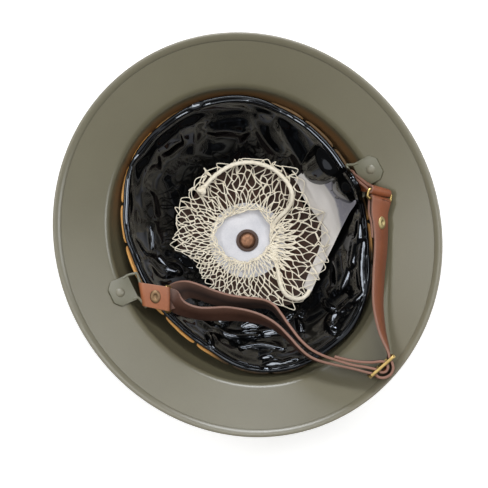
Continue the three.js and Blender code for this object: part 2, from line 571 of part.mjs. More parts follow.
// Slide: a flat brass frame standing on edge, with two slots
const slideAlong = turned(Math.cos(rad(SLIDE_HEADING)), Math.sin(rad(SLIDE_HEADING)), 0);
const slideOut = turned(Math.sin(rad(SLIDE_HEADING)), -Math.cos(rad(SLIDE_HEADING)), 0);
const slideAt = turned(...SLIDE_AT);
function buildSlide() {
  const s = SLIDE_HALF;
  const frame = new THREE.Shape();
  const clip = 1.2;
  frame.moveTo(-s.length + clip, -s.height);
  frame.lineTo(s.length - clip, -s.height);
  frame.lineTo(s.length, -s.height + clip);
  frame.lineTo(s.length, s.height - clip);
  frame.lineTo(s.length - clip, s.height);
  frame.lineTo(-s.length + clip, s.height);
  frame.lineTo(-s.length, s.height - clip);
  frame.lineTo(-s.length, -s.height + clip);
  frame.closePath();
  let solid = toSolid(new THREE.ExtrudeGeometry(frame, { depth: s.sheet, bevelEnabled: false }));
  const slot = s.length - s.bar - s.centreBar;
  for (const side of [-1, 1]) {
    const box = new THREE.BoxGeometry(slot, 2 * (s.height - s.bar), 4 * s.sheet);
    box.translate(side * (s.centreBar + slot / 2), 0, 0);
    solid = solid.subtract(toSolid(box));
  }
  const geometry = fromSolid(solid);
  geometry.translate(0, 0, -s.sheet / 2);
  geometry.applyMatrix4(new THREE.Matrix4().makeBasis(slideAlong, V(0, 0, 1), slideOut));
  geometry.translate(slideAt.x, slideAt.y, slideAt.z);
  addPiece('slide_buckle', geometry, FINISH.brass);
}

// Strap: one strip through every row, round both ring bars and the slide
function strapStations() {
  const rows = [];
  const put = (list) => {
    for (const q of list) {
      const h = rad(q.heading);
      const l = rad(q.lean);
      rows.push({
        at: turned(q.right, q.up, q.z), width: turned(Math.cos(h) * Math.cos(l), Math.sin(h) * Math.cos(l), Math.sin(l)),
      });
    }
  };
  const fold = (spec, from, to, upward) => {
    const bend = RING_WIRE + 0.5 + STRAP_THICK / 2;
    const centre = turned(...spec.strapBar);
    const width = turned(...spec.along).normalize();
    const toTab = turned(...spec.tabBar).sub(centre).normalize();
    const side = toTab.clone().cross(width).normalize();
    if (side.z * upward < 0) side.negate();
    for (let i = 0; i <= 6; i += 1) {
      const a = rad(from + ((to - from) * i) / 6);
      rows.push({
        at: centre.clone().addScaledVector(toTab, bend * Math.cos(a)).addScaledVector(side, bend * Math.sin(a)), width,
      });
    }
  };
  const turn = (list, z) => {
    for (const q of list) {
      const at = slideAt.clone().addScaledVector(slideAlong, q.along).addScaledVector(slideOut, q.out);
      at.z = z;
      rows.push({ at, width: V(0, 0, 1) });
    }
  };
  put(STRAP_RIGHT_TAIL);
  fold(RING_RIGHT, -95, 95, 1);
  put(STRAP_DOWN);
  turn(OUTER_TURN, SLIDE_AT[2]);
  put(STRAP_LOWER);
  fold(RING_LEFT, 95, -95, 1);
  put(STRAP_UPPER);
  turn(INNER_TURN, SLIDE_AT[2]);
  put(STRAP_END);
  return rows;
}
function buildStrap() {
  const rows = strapStations();
  const half = STRAP_WIDTH / 2;
  let normal = null;
  const rings = rows.map((row, i) => {
    const before = rows[Math.max(i - 1, 0)].at;
    const after = rows[Math.min(i + 1, rows.length - 1)].at;
    const tangent = after.clone().sub(before).normalize();
    const face = tangent.clone().cross(row.width).normalize();
    if (normal && face.dot(normal) < -0.5 && tangent.length() === 0) face.negate();
    normal = face;
    const width = face.clone().cross(tangent).normalize();
    const corner = (w, n) => row.at.clone().addScaledVector(width, w * half).addScaledVector(face, (n * STRAP_THICK) / 2);
    return [corner(-1, -1), corner(1, -1), corner(1, 1), corner(-1, 1)];
  });
  const frame = {
    at: turned(99.7, 8.0, 103.4), along: turned(0, 1, 0), normal: turned(Math.sin(rad(22)), 0, Math.cos(rad(22))),
  };
  const shank = bar(frame.at.clone().addScaledVector(frame.normal, -8), frame.at.clone().addScaledVector(frame.normal, 8),
    RIVET_HEAD.shank + GAP, 14);
  const solid = toSolid(loft(rings, false)).subtract(toSolid(shank));
  addPiece('chin_strap', fromSolid(solid), FINISH.leather);
  return frame;
}

// Cloth bowl: inner face at an angle for a share of the way, with folds
const hemline = around(HEMLINE);
function foldAt(degrees, z) {
  let rise = 0;
  for (const f of FOLDS) {
    const d = ((degrees - f.angle + 540) % 360) - 180;
    rise += f.rise * Math.exp(-((d / f.width) ** 2) - ((z - f.z) / f.depth) ** 4);
  }
  return rise;
}
function bowlLine(degrees) {
  const reach = hemline(degrees) - HEM_ROLL;
  return BOWL.map((s) => {
    const lift = THREE.MathUtils.smoothstep(s.z, 32, 54);
    return { r: reach * s.share - foldAt(degrees, s.z) * lift, z: s.z };
  });
}
// Height of the cloth's inner face without folds, at a distance from the middle
function bowlHeight(x, y) {
  const degrees = THREE.MathUtils.radToDeg(Math.atan2(y, x));
  const reach = hemline(degrees) - HEM_ROLL;
  const r = Math.hypot(x, y);
  const rows = [{ r: reach, z: HEM_HEIGHT }, ...BOWL.map((s) => ({ r: reach * s.share, z: s.z })), { r: 0, z: 4.1 }];
  for (let i = 0; i < rows.length - 1; i += 1) {
    if (r >= rows[i + 1].r) {
      const t = (r - rows[i + 1].r) / (rows[i].r - rows[i + 1].r);
      return rows[i + 1].z + t * (rows[i].z - rows[i + 1].z);
    }
  }
  return rows[rows.length - 1].z;
}
// Height of a layer that lies a distance over the cloth, square to it
function overCloth(x, y, distance) {
  const step = 1.5;
  const dx = (bowlHeight(x + step, y) - bowlHeight(x - step, y)) / (2 * step);
  const dy = (bowlHeight(x, y + step) - bowlHeight(x, y - step)) / (2 * step);
  return bowlHeight(x, y) + distance * Math.min(Math.sqrt(1 + dx * dx + dy * dy), 3.2);
}
function polar(degrees, r, z) {
  return V(r * Math.cos(rad(degrees)), r * Math.sin(rad(degrees)), z);
}
function buildLiner() {
  const rings = [];
  for (let i = 0; i < AROUND; i += 1) {
    const degrees = (360 * i) / AROUND;
    const edge = hemline(degrees);
    const inner = bowlLine(degrees);
    const section = [
      { r: edge - 1.4, z: HEM_HEIGHT }, { r: edge - HEM_ROLL + 0.6, z: HEM_HEIGHT - 0.3 },
      { r: edge - HEM_ROLL, z: HEM_HEIGHT - 1.8 }, ...inner, { r: CROWN_HOLE, z: 4.1 },
      { r: CROWN_HOLE, z: 4.1 - CLOTH },
    ];
    const outer = inner.slice().reverse().map((p, k) => {
      const top = k === inner.length - 1;
      const steep = THREE.MathUtils.smoothstep(p.z, 4, 40);
      const low = { r: p.r + CLOTH * steep, z: p.z - CLOTH * (1 - 0.75 * steep) };
      return top ? { r: Math.min(p.r + CLOTH + 0.8, edge - LINER_SLOPE * (HEM_HEIGHT - p.z) - 0.1), z: p.z - 0.5 } : low;
    });
    rings.push([...section, ...outer, { r: edge - slopeBack(HEM_HEIGHT - 2.2) - 0.1, z: HEM_HEIGHT - 2.2 }].map((p) => polar(degrees, p.r, p.z)));
  }
  addPiece('oilcloth_liner', loft(rings, true), FINISH.oilcloth);
}

// Leather band round the cloth and the pads between band and shell
function slopeBack(z) {
  return LINER_SLOPE * (HEM_HEIGHT - z);
}
function buildBand() {
  const rings = [];
  for (let i = 0; i < AROUND; i += 1) {
    const degrees = (360 * i) / AROUND;
    const r = hemline(degrees) + GAP;
    const low = BAND_TOP - BAND_DROP;
    rings.push([
      polar(degrees, r - slopeBack(BAND_TOP), BAND_TOP), polar(degrees, r + BAND_THICK - slopeBack(BAND_TOP), BAND_TOP),
      polar(degrees, r + BAND_THICK - slopeBack(low), low), polar(degrees, r - slopeBack(low), low),
    ]);
  }
  addPiece('liner_band', loft(rings, true), FINISH.tan);
}
// Angles that split the band's round into equal lengths
function evenAngles(count) {
  const steps = 720;
  const length = [0];
  for (let i = 1; i <= steps; i += 1) {
    const a = polar((i - 1) / 2, hemline((i - 1) / 2), 0);
    length.push(length[i - 1] + a.distanceTo(polar(i / 2, hemline(i / 2), 0)));
  }
  const total = length[steps];
  return {
    total, at: (distance) => {
      const d = ((distance % total) + total) % total;
      let i = 0;
      while (length[i + 1] < d) i += 1;
      return (i + (d - length[i]) / (length[i + 1] - length[i])) / 2;
    },
    count,
  };
}
function buildPads() {
  const split = evenAngles(PAD_COUNT);
  const pitch = split.total / PAD_COUNT;
  for (let i = 0; i < PAD_COUNT; i += 1) {
    const from = i * pitch + PAD_SPACING / 2;
    const to = (i + 1) * pitch - PAD_SPACING / 2;
    const rings = [];
    for (let k = 0; k <= 3; k += 1) {
      const degrees = split.at(from + ((to - from) * k) / 3);
      const r = hemline(degrees) + 2 * GAP + BAND_THICK + 0.1;
      const low = PAD_TOP - PAD_DROP;
      rings.push([
        polar(degrees, r - slopeBack(PAD_TOP), PAD_TOP), polar(degrees, r + PAD_THICK - slopeBack(PAD_TOP), PAD_TOP - 0.4),
        polar(degrees, r + PAD_THICK - slopeBack(low), low), polar(degrees, r - slopeBack(low), low),
      ]);
    }
    addPiece(`band_pad_${String(i + 1).padStart(2, '0')}`, loft(rings, false), FINISH.tan);
  }
}

// Felt, label and washer lie in the bowl in turn
function dish(name, outerAt, base, thick, hole, steps, material) {
  const rings = [];
  const turns = 24;
  for (let i = 0; i < turns; i += 1) {
    const degrees = (360 * i) / turns;
    const top = [];
    const low = [];
    for (let k = 0; k <= steps; k += 1) {
      const r = hole + ((outerAt(degrees) - hole) * k) / steps;
      const x = r * Math.cos(rad(degrees));
      const y = r * Math.sin(rad(degrees));
      low.push(V(x, y, overCloth(x, y, base)));
      top.push(V(x, y, overCloth(x, y, base + thick)));
    }
    rings.push([...low, ...top.reverse()]);
  }
  addPiece(name, loft(rings, true), material);
}

const netEdge = around(NET_EDGE);
const netHole = around(NET_HOLE);
const COTTON_BASE = GAP + FELT + 2 * GAP + 0.3;
const NET_BASE = COTTON_BASE + COTTON + 3 * GAP + 0.6;
function netPoint(degrees, share, lift) {
  const r = netHole(degrees) + (netEdge(degrees) - netHole(degrees)) * share;
  const p = turned(r * Math.cos(rad(degrees)), r * Math.sin(rad(degrees)), 0);
  p.z = overCloth(p.x, p.y, NET_BASE + lift);
  return p;
}
// Net: diamond cells, each a frame of strand round a gap
function buildNet() {
  const position = [];
  const index = [];
  const seen = new Map();
  const vertex = (p) => {
    const key = `${p.x.toFixed(4)},${p.y.toFixed(4)},${p.z.toFixed(4)}`;
    if (!seen.has(key)) {
      seen.set(key, position.length / 3);
      position.push(p.x, p.y, p.z);
    }
    return seen.get(key);
  };
  const quad = (a, b, c, d) => index.push(a, b, c, a, c, d);
  const open = new Map();
  const wall = (a, b, lowA, lowB) => {
    const back = `${b},${a}`;
    if (open.has(back)) open.delete(back);
    else open.set(`${a},${b}`, [a, b, lowA, lowB]);
  };
  const knot = (column, row, lift) => netPoint((360 * column) / NET_COLUMNS, (row / NET_ROWS) ** 0.9, lift);
  for (let j = 0; j < NET_ROWS - 1; j += 1) {
    for (let i = 0; i < NET_COLUMNS; i += 1) {
      const c = i + (j % 2) / 2;
      const corners = [[c, j], [c + 0.5, j + 1], [c, j + 2 > NET_ROWS ? NET_ROWS : j + 2], [c - 0.5, j + 1]];
      const wrap = ([col, row], lift) => knot(((col % NET_COLUMNS) + NET_COLUMNS) % NET_COLUMNS, row, lift);
      const top = corners.map((q) => wrap(q, NET_THICK));
      const low = corners.map((q) => wrap(q, 0));
      const middle = top.reduce((s, p) => s.add(p), V(0, 0, 0)).multiplyScalar(0.25);
      const shrink = (p, lift) => {
        const d = Math.hypot(p.x - middle.x, p.y - middle.y);
        const t = Math.min(0.42, (NET_STRAND * 1.5) / d);
        const x = p.x + (middle.x - p.x) * t;
        const y = p.y + (middle.y - p.y) * t;
        return V(x, y, overCloth(x, y, NET_BASE + lift));
      };
      const gapTop = top.map((p) => vertex(shrink(p, NET_THICK)));
      const gapLow = low.map((p) => vertex(shrink(p, 0)));
      const t = top.map(vertex);
      const l = low.map(vertex);
      for (let k = 0; k < 4; k += 1) {
        const m = (k + 1) % 4;
        quad(t[k], t[m], gapTop[m], gapTop[k]);
        quad(l[m], l[k], gapLow[k], gapLow[m]);
        quad(gapTop[k], gapTop[m], gapLow[m], gapLow[k]);
        wall(t[k], t[m], l[k], l[m]);
      }
    }
  }
  for (const [a, b, lowA, lowB] of open.values()) quad(b, a, lowA, lowB);
  addPiece('string_net', outward(position, index), FINISH.string);
}

// Draw cord over the net
function buildCord() {
  const points = CORD_ROWS.map((q) => {
    const p = turned(q.right, q.up, 0);
    p.z = overCloth(p.x, p.y, NET_BASE + NET_THICK + CORD_RADIUS + q.rise);
    return p;
  });
  const curve = new THREE.CatmullRomCurve3(points, false, 'centripetal');
  addPiece('draw_cord', wire(curve.getSpacedPoints(32), CORD_RADIUS, 8, false), FINISH.string);
}

// Cotton patch on the felt, reaching up the cloth
function buildCotton() {
  const across = 5;
  const rings = COTTON_ROWS.map((row) => {
    const low = [];
    const top = [];
    for (let k = 0; k <= across; k += 1) {
      const t = k / across;
      const p = turned(row.inRight + (row.outRight - row.inRight) * t, row.inUp + (row.outUp - row.inUp) * t, 0);
      const base = COTTON_BASE - 2.0 * THREE.MathUtils.smoothstep(Math.hypot(p.x, p.y), 62, 74);
      low.push(V(p.x, p.y, overCloth(p.x, p.y, base)));
      top.push(V(p.x, p.y, overCloth(p.x, p.y, base + COTTON)));
    }
    return [...low, ...top.reverse()];
  });
  addPiece('cotton_pad', stripLoft(rings), FINISH.cotton);
}
// Loft whose end caps follow a low row and a top row
function stripLoft(rings) {
  const n = rings[0].length;
  const body = loft(rings, true);
  const count = rings.length;
  const position = Array.from(body.getAttribute('position').array);
  const index = [];
  for (let i = 0; i < count - 1; i += 1) {
    for (let k = 0; k < n; k += 1) {
      const m = (k + 1) % n;
      index.push(i * n + k, i * n + m, (i + 1) * n + m, i * n + k, (i + 1) * n + m, (i + 1) * n + k);
    }
  }
  const end = (count - 1) * n;
  for (let k = 0; k < n / 2 - 1; k += 1) {
    const a = k;
    const b = k + 1;
    const c = n - 2 - k;
    const d = n - 1 - k;
    index.push(a, c, b, a, d, c, end + a, end + b, end + c, end + a, end + c, end + d);
  }
  return outward(position, index);
}

// Crown washer and rivet
function buildCrown() {
  const felted = 4.1 + GAP + FELT + 2 * GAP + 0.2;
  const base = felted + LABEL + GAP + 1.1;
  const washer = [[2.6, base], [9.0, base + 0.9], [9.0, base + 1.7], [2.6, base + 1.1], [2.6, base]]
    .map(([r, z]) => new THREE.Vector2(r, z));
  addPiece('crown_washer', new THREE.LatheGeometry(washer, 16), FINISH.washer);
  const seat = base + 2.0;
  const rivet = [
    [0, 0], [6.6, 0], [7.4, 0.6], [7.2, CROWN_LIFT - GAP], [2.2, CROWN_LIFT - GAP], [2.2, seat], [6.2, seat],
    [5.9, seat + 1.2], [4.4, seat + 2.6], [2.2, seat + 3.3], [0, seat + 3.5],
  ].map(([r, z]) => new THREE.Vector2(r, z));
  addPiece('crown_rivet', new THREE.LatheGeometry(rivet, 16), FINISH.copper);
  for (const name of ['crown_washer', 'crown_rivet']) group.getObjectByName(name).geometry.rotateX(Math.PI / 2);
}

buildShell();
buildRim();
for (const [name, spec] of Object.entries(BAILS)) {
  buildLug(name, spec);
  buildLugRivet(name, spec.side);
}
buildRing('left', RING_LEFT);
buildRing('right', RING_RIGHT);
function bailAlong(spec) {
  return V(...spec.far).sub(V(...spec.near)).normalize();
}
const tabFrame = buildTab('left', turned(...TAB_LEFT_AT), bailAlong(BAILS.left),
  turned(...RING_LEFT.tabBar), turned(...RING_LEFT.along).normalize(), 0.8, true);
buildTab('right', turned(...TAB_RIGHT_AT), bailAlong(BAILS.right),
  turned(...RING_RIGHT.tabBar), turned(...RING_RIGHT.along).normalize(), 1.7, false);
buildRivet('tab_rivet_left', tabFrame, tabFrame.reach + 0.6);
buildSlide();
const strapFrame = buildStrap();
buildRivet('strap_rivet', strapFrame, 3.5);
buildLiner();
buildBand();
buildPads();
dish('crown_felt', (a) => 0.62 * hemline(a), GAP + 0.2, FELT, CROWN_HOLE, 4, FINISH.felt);
dish('size_label', () => 30, GAP + FELT + 2 * GAP + 0.2, LABEL, CROWN_HOLE, 2, FINISH.paper);
buildCotton();
buildNet();
buildCord();
buildCrown();

export default group;
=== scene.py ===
"""Looks of a steel brim helmet that lies crown down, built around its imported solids.

Sizes are millimetres in the part's frame until a mesh is made; the turned frame has its right and up
along the sides of the picture.
"""

from __future__ import annotations

import logging
import math
from dataclasses import dataclass, field, replace
from enum import Enum
from itertools import starmap
from typing import Callable, Iterable, NamedTuple, Optional, Sequence

import bmesh
import bpy
import numpy as np
from mathutils import Matrix, Vector
from mathutils.geometry import delaunay_2d_cdt

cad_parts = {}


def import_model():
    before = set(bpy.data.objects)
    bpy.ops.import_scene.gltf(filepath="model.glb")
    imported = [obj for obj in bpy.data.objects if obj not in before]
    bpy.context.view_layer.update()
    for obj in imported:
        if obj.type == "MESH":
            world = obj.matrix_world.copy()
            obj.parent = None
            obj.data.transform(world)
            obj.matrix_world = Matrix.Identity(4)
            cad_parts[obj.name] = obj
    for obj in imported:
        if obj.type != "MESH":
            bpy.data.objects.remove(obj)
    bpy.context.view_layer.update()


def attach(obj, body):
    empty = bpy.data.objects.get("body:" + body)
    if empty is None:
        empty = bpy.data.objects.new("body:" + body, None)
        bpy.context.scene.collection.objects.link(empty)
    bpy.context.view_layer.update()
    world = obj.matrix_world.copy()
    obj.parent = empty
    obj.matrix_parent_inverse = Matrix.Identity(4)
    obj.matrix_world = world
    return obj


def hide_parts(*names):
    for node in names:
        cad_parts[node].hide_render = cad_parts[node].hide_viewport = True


LOG = logging.getLogger("helmet")
Array = np.ndarray
Shape = tuple[Array, list[tuple[int, ...]]]
Sockets = bpy.types.bpy_prop_collection
MM = 0.001
BODY = "root"
TURN = math.radians(-26.2)


class Side(Enum):
    """The helmet's two sides, by their direction along X."""

    LEFT = -1
    RIGHT = 1

    @property
    def word(self) -> str:
        """Gives the side's name in small letters."""
        return self.name.lower()


class Ring(NamedTuple):
    """Radius of a closed line at an angle in degrees."""

    angle: float
    radius: float


class StrapRow(NamedTuple):
    """Place of the strap's middle in the turned frame, with the heading and lean of its width in degrees."""

    right: float
    up: float
    z: float
    heading: float
    lean: float


class Level(NamedTuple):
    """Height of the cloth bowl at a share of its hemline radius."""

    share: float
    z: float


class Fold(NamedTuple):
    """Fold of the cloth along a bent line in the turned frame, with each flank's width and its rise."""

    right_a: float
    up_a: float
    right_b: float
    up_b: float
    right_c: float
    up_c: float
    left: float
    right: float
    rise: float


class Puff(NamedTuple):
    """Puffed lobe of the cloth in the turned frame: middle, half sizes, turn, and rise inward and upward."""

    right: float
    up: float
    half_right: float
    half_up: float
    turn: float
    rise: float
    lift: float


class Streak(NamedTuple):
    """Flat narrow facet of the cloth along a bent line in the turned frame.

    It has half its width, and its facing and lean in degrees.
    """

    right_a: float
    up_a: float
    right_b: float
    up_b: float
    right_c: float
    up_c: float
    half: float
    facing: float
    lean: float


class HemRow(NamedTuple):
    """Hem at an angle: its outer radius, the width of its doubled strip and its inner edge's rise."""

    angle: float
    radius: float
    width: float
    lip: float


class WireRing(NamedTuple):
    """Brass ring: the middles of its bars, their direction, half its length, and each leather's slip."""

    tab: Array
    strap: Array
    along: Array
    half: float
    tab_slip: float = 0.0
    strap_slip: float = 0.0


class Lamp(NamedTuple):
    """Softbox: its place in the turned frame and its sides in metres, its power, and its tint.

    A lamp that is for gloss only shows in reflections and lights nothing else.
    """

    name: str
    right: float
    up: float
    z: float
    wide: float
    high: float
    watts: float
    tint: tuple[float, float, float]
    gloss_only: bool = False


# Lines that several pieces share
HEMLINE = tuple(starmap(Ring, (
    (6, 89.5), (25, 93), (49, 99), (67, 103), (86, 105.2), (107, 104.5), (122, 102), (138, 96.5),
    (152, 91.5), (172, 87), (187, 86), (198, 85), (209, 86.5), (226, 91), (240, 98), (252, 102.5),
    (264, 104.5), (285, 103.5), (301, 100.5), (316, 96), (330, 91.5), (350, 89.5),
)))
NET_EDGE = tuple(starmap(Ring, (
    (0, 66), (18, 63), (33, 57), (52, 66), (70, 66), (90, 63.5), (108, 63.5), (126, 65.5), (140, 60),
    (158, 62), (174, 58.5), (186, 60), (199, 47.5), (212, 46.5), (231, 49), (252, 52), (276, 51.5),
    (288, 54.5), (304, 68), (320, 64.5), (345, 66.5),
)))
NET_HOLE = tuple(starmap(Ring, (
    (0, 20.5), (34, 23.5), (56, 29), (85, 26), (118, 22.5), (152, 28.5), (180, 27), (207, 23.5),
    (235, 21), (265, 19.5), (295, 18), (330, 18.5),
)))
# Per cent of light on the pads round the turned frame; where it is low the pads are painted dark as shade
PAD_LIGHT = tuple(starmap(Ring, (
    (0, 85), (8, 80), (13, 20), (22, 14), (60, 14), (126, 25), (134, 75), (156, 75), (164, 100),
    (200, 100), (228, 95), (250, 90), (258, 10), (335, 4), (352, 6), (357, 80),
)))
# Far and near corner of the wire bail on each lug
BAILS = {
    Side.LEFT: ((-87.4, 10.9, 90.0), (-92.2, -15.6, 90.0)),
    Side.RIGHT: ((90.3, 14.5, 88.5), (91.0, -13.0, 92.5)),
}
BOWL = (
    Level(0.97, 74), Level(0.905, 60), Level(0.82, 46), Level(0.69, 31.5), Level(0.5, 18.5), Level(0.24, 8),
)
HEM_HEIGHT = 82.5
HEM_ROLL = 3.4
BOWL_FLOOR = 4.1
COTTON_BASE = 3.7
NET_BASE = 6.8
NET_THICK = 1.6
WIRE_BEND = 2.2


def turned(right: Array | float, up: Array | float, z: Array | float = 0.0) -> Array:
    """Gives places of the turned frame in the part's frame.

    Args:
        right: Millimetres to the picture's right.
        up: Millimetres to the picture's top.
        z: Height in millimetres.

    Returns:
        X, Y and Z in millimetres.
    """
    c, s = math.cos(TURN), math.sin(TURN)
    return np.array(np.broadcast_arrays(right * c - up * s, right * s + up * c, z))


def unturned(points: Array) -> Array:
    """Gives the right and up of points in the turned frame."""
    c, s = math.cos(TURN), math.sin(TURN)
    x, y = points[..., 0], points[..., 1]
    return np.stack([x * c + y * s, y * c - x * s], axis=-1)


def polar(r: Array, a: Array, z: Array) -> Array:
    """Gives points from radius, angle and height."""
    return np.stack(np.broadcast_arrays(r * np.cos(a), r * np.sin(a), z), axis=-1)


def unit(v: Array) -> Array:
    """Gives vectors of length one along the last axis."""
    return v / np.maximum(np.linalg.norm(v, axis=-1, keepdims=True), 1e-12)


def ease(x: Array | float, low: float, high: float) -> Array:
    """Rises smoothly from 0 at low to 1 at high."""
    t = np.clip((np.asarray(x, float) - low) / (high - low), 0, 1)
    return t * t * (3 - 2 * t)


class ClosedLine:
    """Smooth closed line through rows of angle and radius."""

    def __init__(self, rows: Sequence[Ring]) -> None:
        """Keeps the rows as arrays.

        Args:
            rows: Rows in rising order of angle.
        """
        self.angle = np.array([r.angle for r in rows] + [rows[0].angle + 360.0])
        self.radius = np.array([r.radius for r in rows])

    def __call__(self, degrees: Array | float) -> Array:
        """Gives the radius at each angle.

        Args:
            degrees: Angles from +X.

        Returns:
            Radii in millimetres.
        """
        n = len(self.radius)
        a = np.mod(np.asarray(degrees, float) - self.angle[0], 360.0) + self.angle[0]
        i = np.clip(np.searchsorted(self.angle, a, side="right") - 1, 0, n - 1)
        t = (a - self.angle[i]) / (self.angle[i + 1] - self.angle[i])
        r = [self.radius[(i + k) % n] for k in (-1, 0, 1, 2)]
        h = t * t * (3 - 2 * t)
        slope_a, slope_b = (r[2] - r[0]) / 2, (r[3] - r[1]) / 2
        return r[1] * (1 - h) + r[2] * h + slope_a * t * (1 - t) ** 2 - slope_b * t * t * (1 - t)


def spline(points: Array, steps: int) -> Array:
    """Runs a smooth line through points.

    Args:
        points: Points, one row each.
        steps: Pieces between each two points.

    Returns:
        The points of the smooth line, the given ones among them.
    """
    p = np.vstack([2 * points[0] - points[1], points, 2 * points[-1] - points[-2]])
    out = []
    for a, b, c, d in zip(p, p[1:], p[2:], p[3:]):
        for t in np.arange(steps) / steps:
            out.append(0.5 * (2 * b + (c - a) * t + (2 * a - 5 * b + 4 * c - d) * t**2
                              + (3 * b - a - 3 * c + d) * t**3))
    return np.array(out + [points[-1]])


def run_along(points: Array) -> Array:
    """Gives the length of a line up to each of its points."""
    return np.concatenate([[0], np.cumsum(np.linalg.norm(np.diff(points, axis=0), axis=1))])


def even(points: Array, count: int) -> Array:
    """Spreads a number of points evenly along a line."""
    run = run_along(points)
    at = np.linspace(0, run[-1], count)
    return np.stack([np.interp(at, run, points[:, k]) for k in range(points.shape[1])], axis=1)


def bent(row: Fold | Streak) -> Array:
    """Gives the line of a fold or streak through its three points."""
    return spline(np.array(row[:6], float).reshape(3, 2), 20)


def near_line(place: Array, line: Array, reach: float) -> Array:
    """Marks the places that lie in a line's box, grown by a reach."""
    return np.all((place > line.min(axis=0) - reach) & (place < line.max(axis=0) + reach), axis=-1)


def smoothed(grid: Array, weight: float) -> Array:
    """Averages each value of a round grid with its neighbours, round it and then along it."""
    grid = (np.roll(grid, 1, axis=0) + weight * grid + np.roll(grid, -1, axis=0)) / (weight + 2)
    grid[:, 1:-1] = (grid[:, :-2] + weight * grid[:, 1:-1] + grid[:, 2:]) / (weight + 2)
    return grid


def grid_faces(rows: int, cols: int, wrap_rows: bool = False,
               wrap_cols: bool = False) -> list[tuple[int, ...]]:
    """Lists the four-sided faces of a grid of points.

    Args:
        rows: Rows of points.
        cols: Points in a row.
        wrap_rows: Joins the last row to the first.
        wrap_cols: Joins the last column to the first.

    Returns:
        Point numbers of each face.
    """
    i = np.arange(rows if wrap_rows else rows - 1)[:, None]
    j = np.arange(cols if wrap_cols else cols - 1)[None, :]
    i2, j2 = (i + 1) % rows, (j + 1) % cols
    corners = np.broadcast_arrays(i * cols + j, i * cols + j2, i2 * cols + j2, i2 * cols + j)
    return [tuple(q) for q in np.stack(corners, axis=-1).reshape(-1, 4).tolist()]


def join(shapes: Iterable[Shape]) -> Shape:
    """Puts several shapes into one.

    Args:
        shapes: The shapes in order.

    Returns:
        One shape.
    """
    points, faces, start = [], [], 0
    for verts, polygons in shapes:
        points.append(verts)
        faces += [tuple(k + start for k in f) for f in polygons]
        start += len(verts)
    return np.vstack(points), faces


def loft(sections: Array, closed: bool = False) -> Shape:
    """Joins closed sections in order, with flat ends unless they close on themselves.

    Args:
        sections: Points as sections by points by xyz.
        closed: Joins the last section to the first.

    Returns:
        The shape.
    """
    rows, cols = sections.shape[:2]
    faces = grid_faces(rows, cols, closed, True)
    if not closed:
        last = (rows - 1) * cols
        faces += [tuple(range(cols - 1, -1, -1)), tuple(range(last, last + cols))]
    return sections.reshape(-1, 3), faces


def frames_along(points: Array, closed: bool) -> tuple[Array, Array]:
    """Gives two steady directions square to a line at each of its points.

    Args:
        points: Points of the line.
        closed: The line ends where it starts.

    Returns:
        The two directions, one row for each point.
    """
    if closed:
        tangent = unit(np.roll(points, -1, axis=0) - np.roll(points, 1, axis=0))
    else:
        tangent = unit(np.gradient(points, axis=0))
    side = np.array([0.0, 0.0, 1.0]) if abs(tangent[0][2]) < 0.9 else np.array([1.0, 0.0, 0.0])
    sides = []
    for t in tangent:
        side = unit(side - t * (side @ t))
        sides.append(side)
    first = np.array(sides)
    return first, np.cross(tangent, first)


def tube(points: Array, radius: Array | float, sides: int, closed: bool = False) -> Shape:
    """Makes a round bar along a line.

    Args:
        points: Points of the line.
        radius: Radius, or one for each point.
        sides: Sides of the bar.
        closed: The line ends where it starts.

    Returns:
        The shape.
    """
    first, second = frames_along(points, closed)
    a = 2 * np.pi * (np.arange(sides) + 0.5) / sides
    size = np.broadcast_to(np.asarray(radius, float), (len(points),))[:, None, None]
    ring = np.cos(a)[None, :, None] * first[:, None, :] + np.sin(a)[None, :, None] * second[:, None, :]
    return loft(points[:, None, :] + size * ring, closed)


def spun(profile: Sequence[tuple[float, float]], sides: int) -> Array:
    """Gives a line of radius and height at each step of a full turn round the upright axis."""
    turn = 2 * np.pi * np.arange(sides) / sides
    return np.array([[(r * math.cos(a), r * math.sin(a), z) for r, z in profile] for a in turn])


def lathe(profile: Sequence[tuple[float, float]], sides: int) -> Shape:
    """Turns a profile that starts and ends on the upright axis."""
    return spun(profile, sides).reshape(-1, 3), grid_faces(sides, len(profile), True, False)


def soften(profile: Sequence[tuple[float, float]], steps: int) -> list[tuple[float, float]]:
    """Runs a smooth line through the rows of a turned profile."""
    return [tuple(p) for p in spline(np.array(profile, float), steps).tolist()]


class Graph:
    """A node tree with short calls for adding and joining nodes."""

    def __init__(self, tree: bpy.types.NodeTree) -> None:
        """Keeps the tree."""
        self.tree = tree

    def feed(self, target: bpy.types.NodeSocket, value: object) -> None:
        """Links a socket to an input, or sets the input's value."""
        if isinstance(value, bpy.types.NodeSocket):
            self.tree.links.new(value, target)
        else:
            target.default_value = value

    def add(self, kind: str, **values: object) -> bpy.types.Node:
        """Adds a node.

        Args:
            kind: Its type.
            values: Settings by attribute, and values or sockets by input, with underscores for spaces.

        Returns:
            The node.
        """
        node = self.tree.nodes.new(kind)
        for key, value in values.items():
            if hasattr(node, key):
                setattr(node, key, value)
            else:
                self.feed(node.inputs[key.replace("_", " ")], value)
        return node

    def work_out(self, operation: str, *values: object, clamp: bool = False) -> bpy.types.NodeSocket:
        """Adds a sum.

        Args:
            operation: What it does.
            values: Its numbers or sockets, in order.
            clamp: Keeps the result from 0 to 1.

        Returns:
            The socket of the result.
        """
        node = self.add("ShaderNodeMath", operation=operation, use_clamp=clamp)
        for target, value in zip(node.inputs, values):
            self.feed(target, value)
        return node.outputs[0]

    def blend(self, share: object, low: object, high: object) -> bpy.types.NodeSocket:
        """Mixes two colours by a share."""
        node = self.add("ShaderNodeMix", data_type="RGBA")
        for index, value in ((0, share), (6, low), (7, high)):
            self.feed(node.inputs[index], value)
        return node.outputs[2]


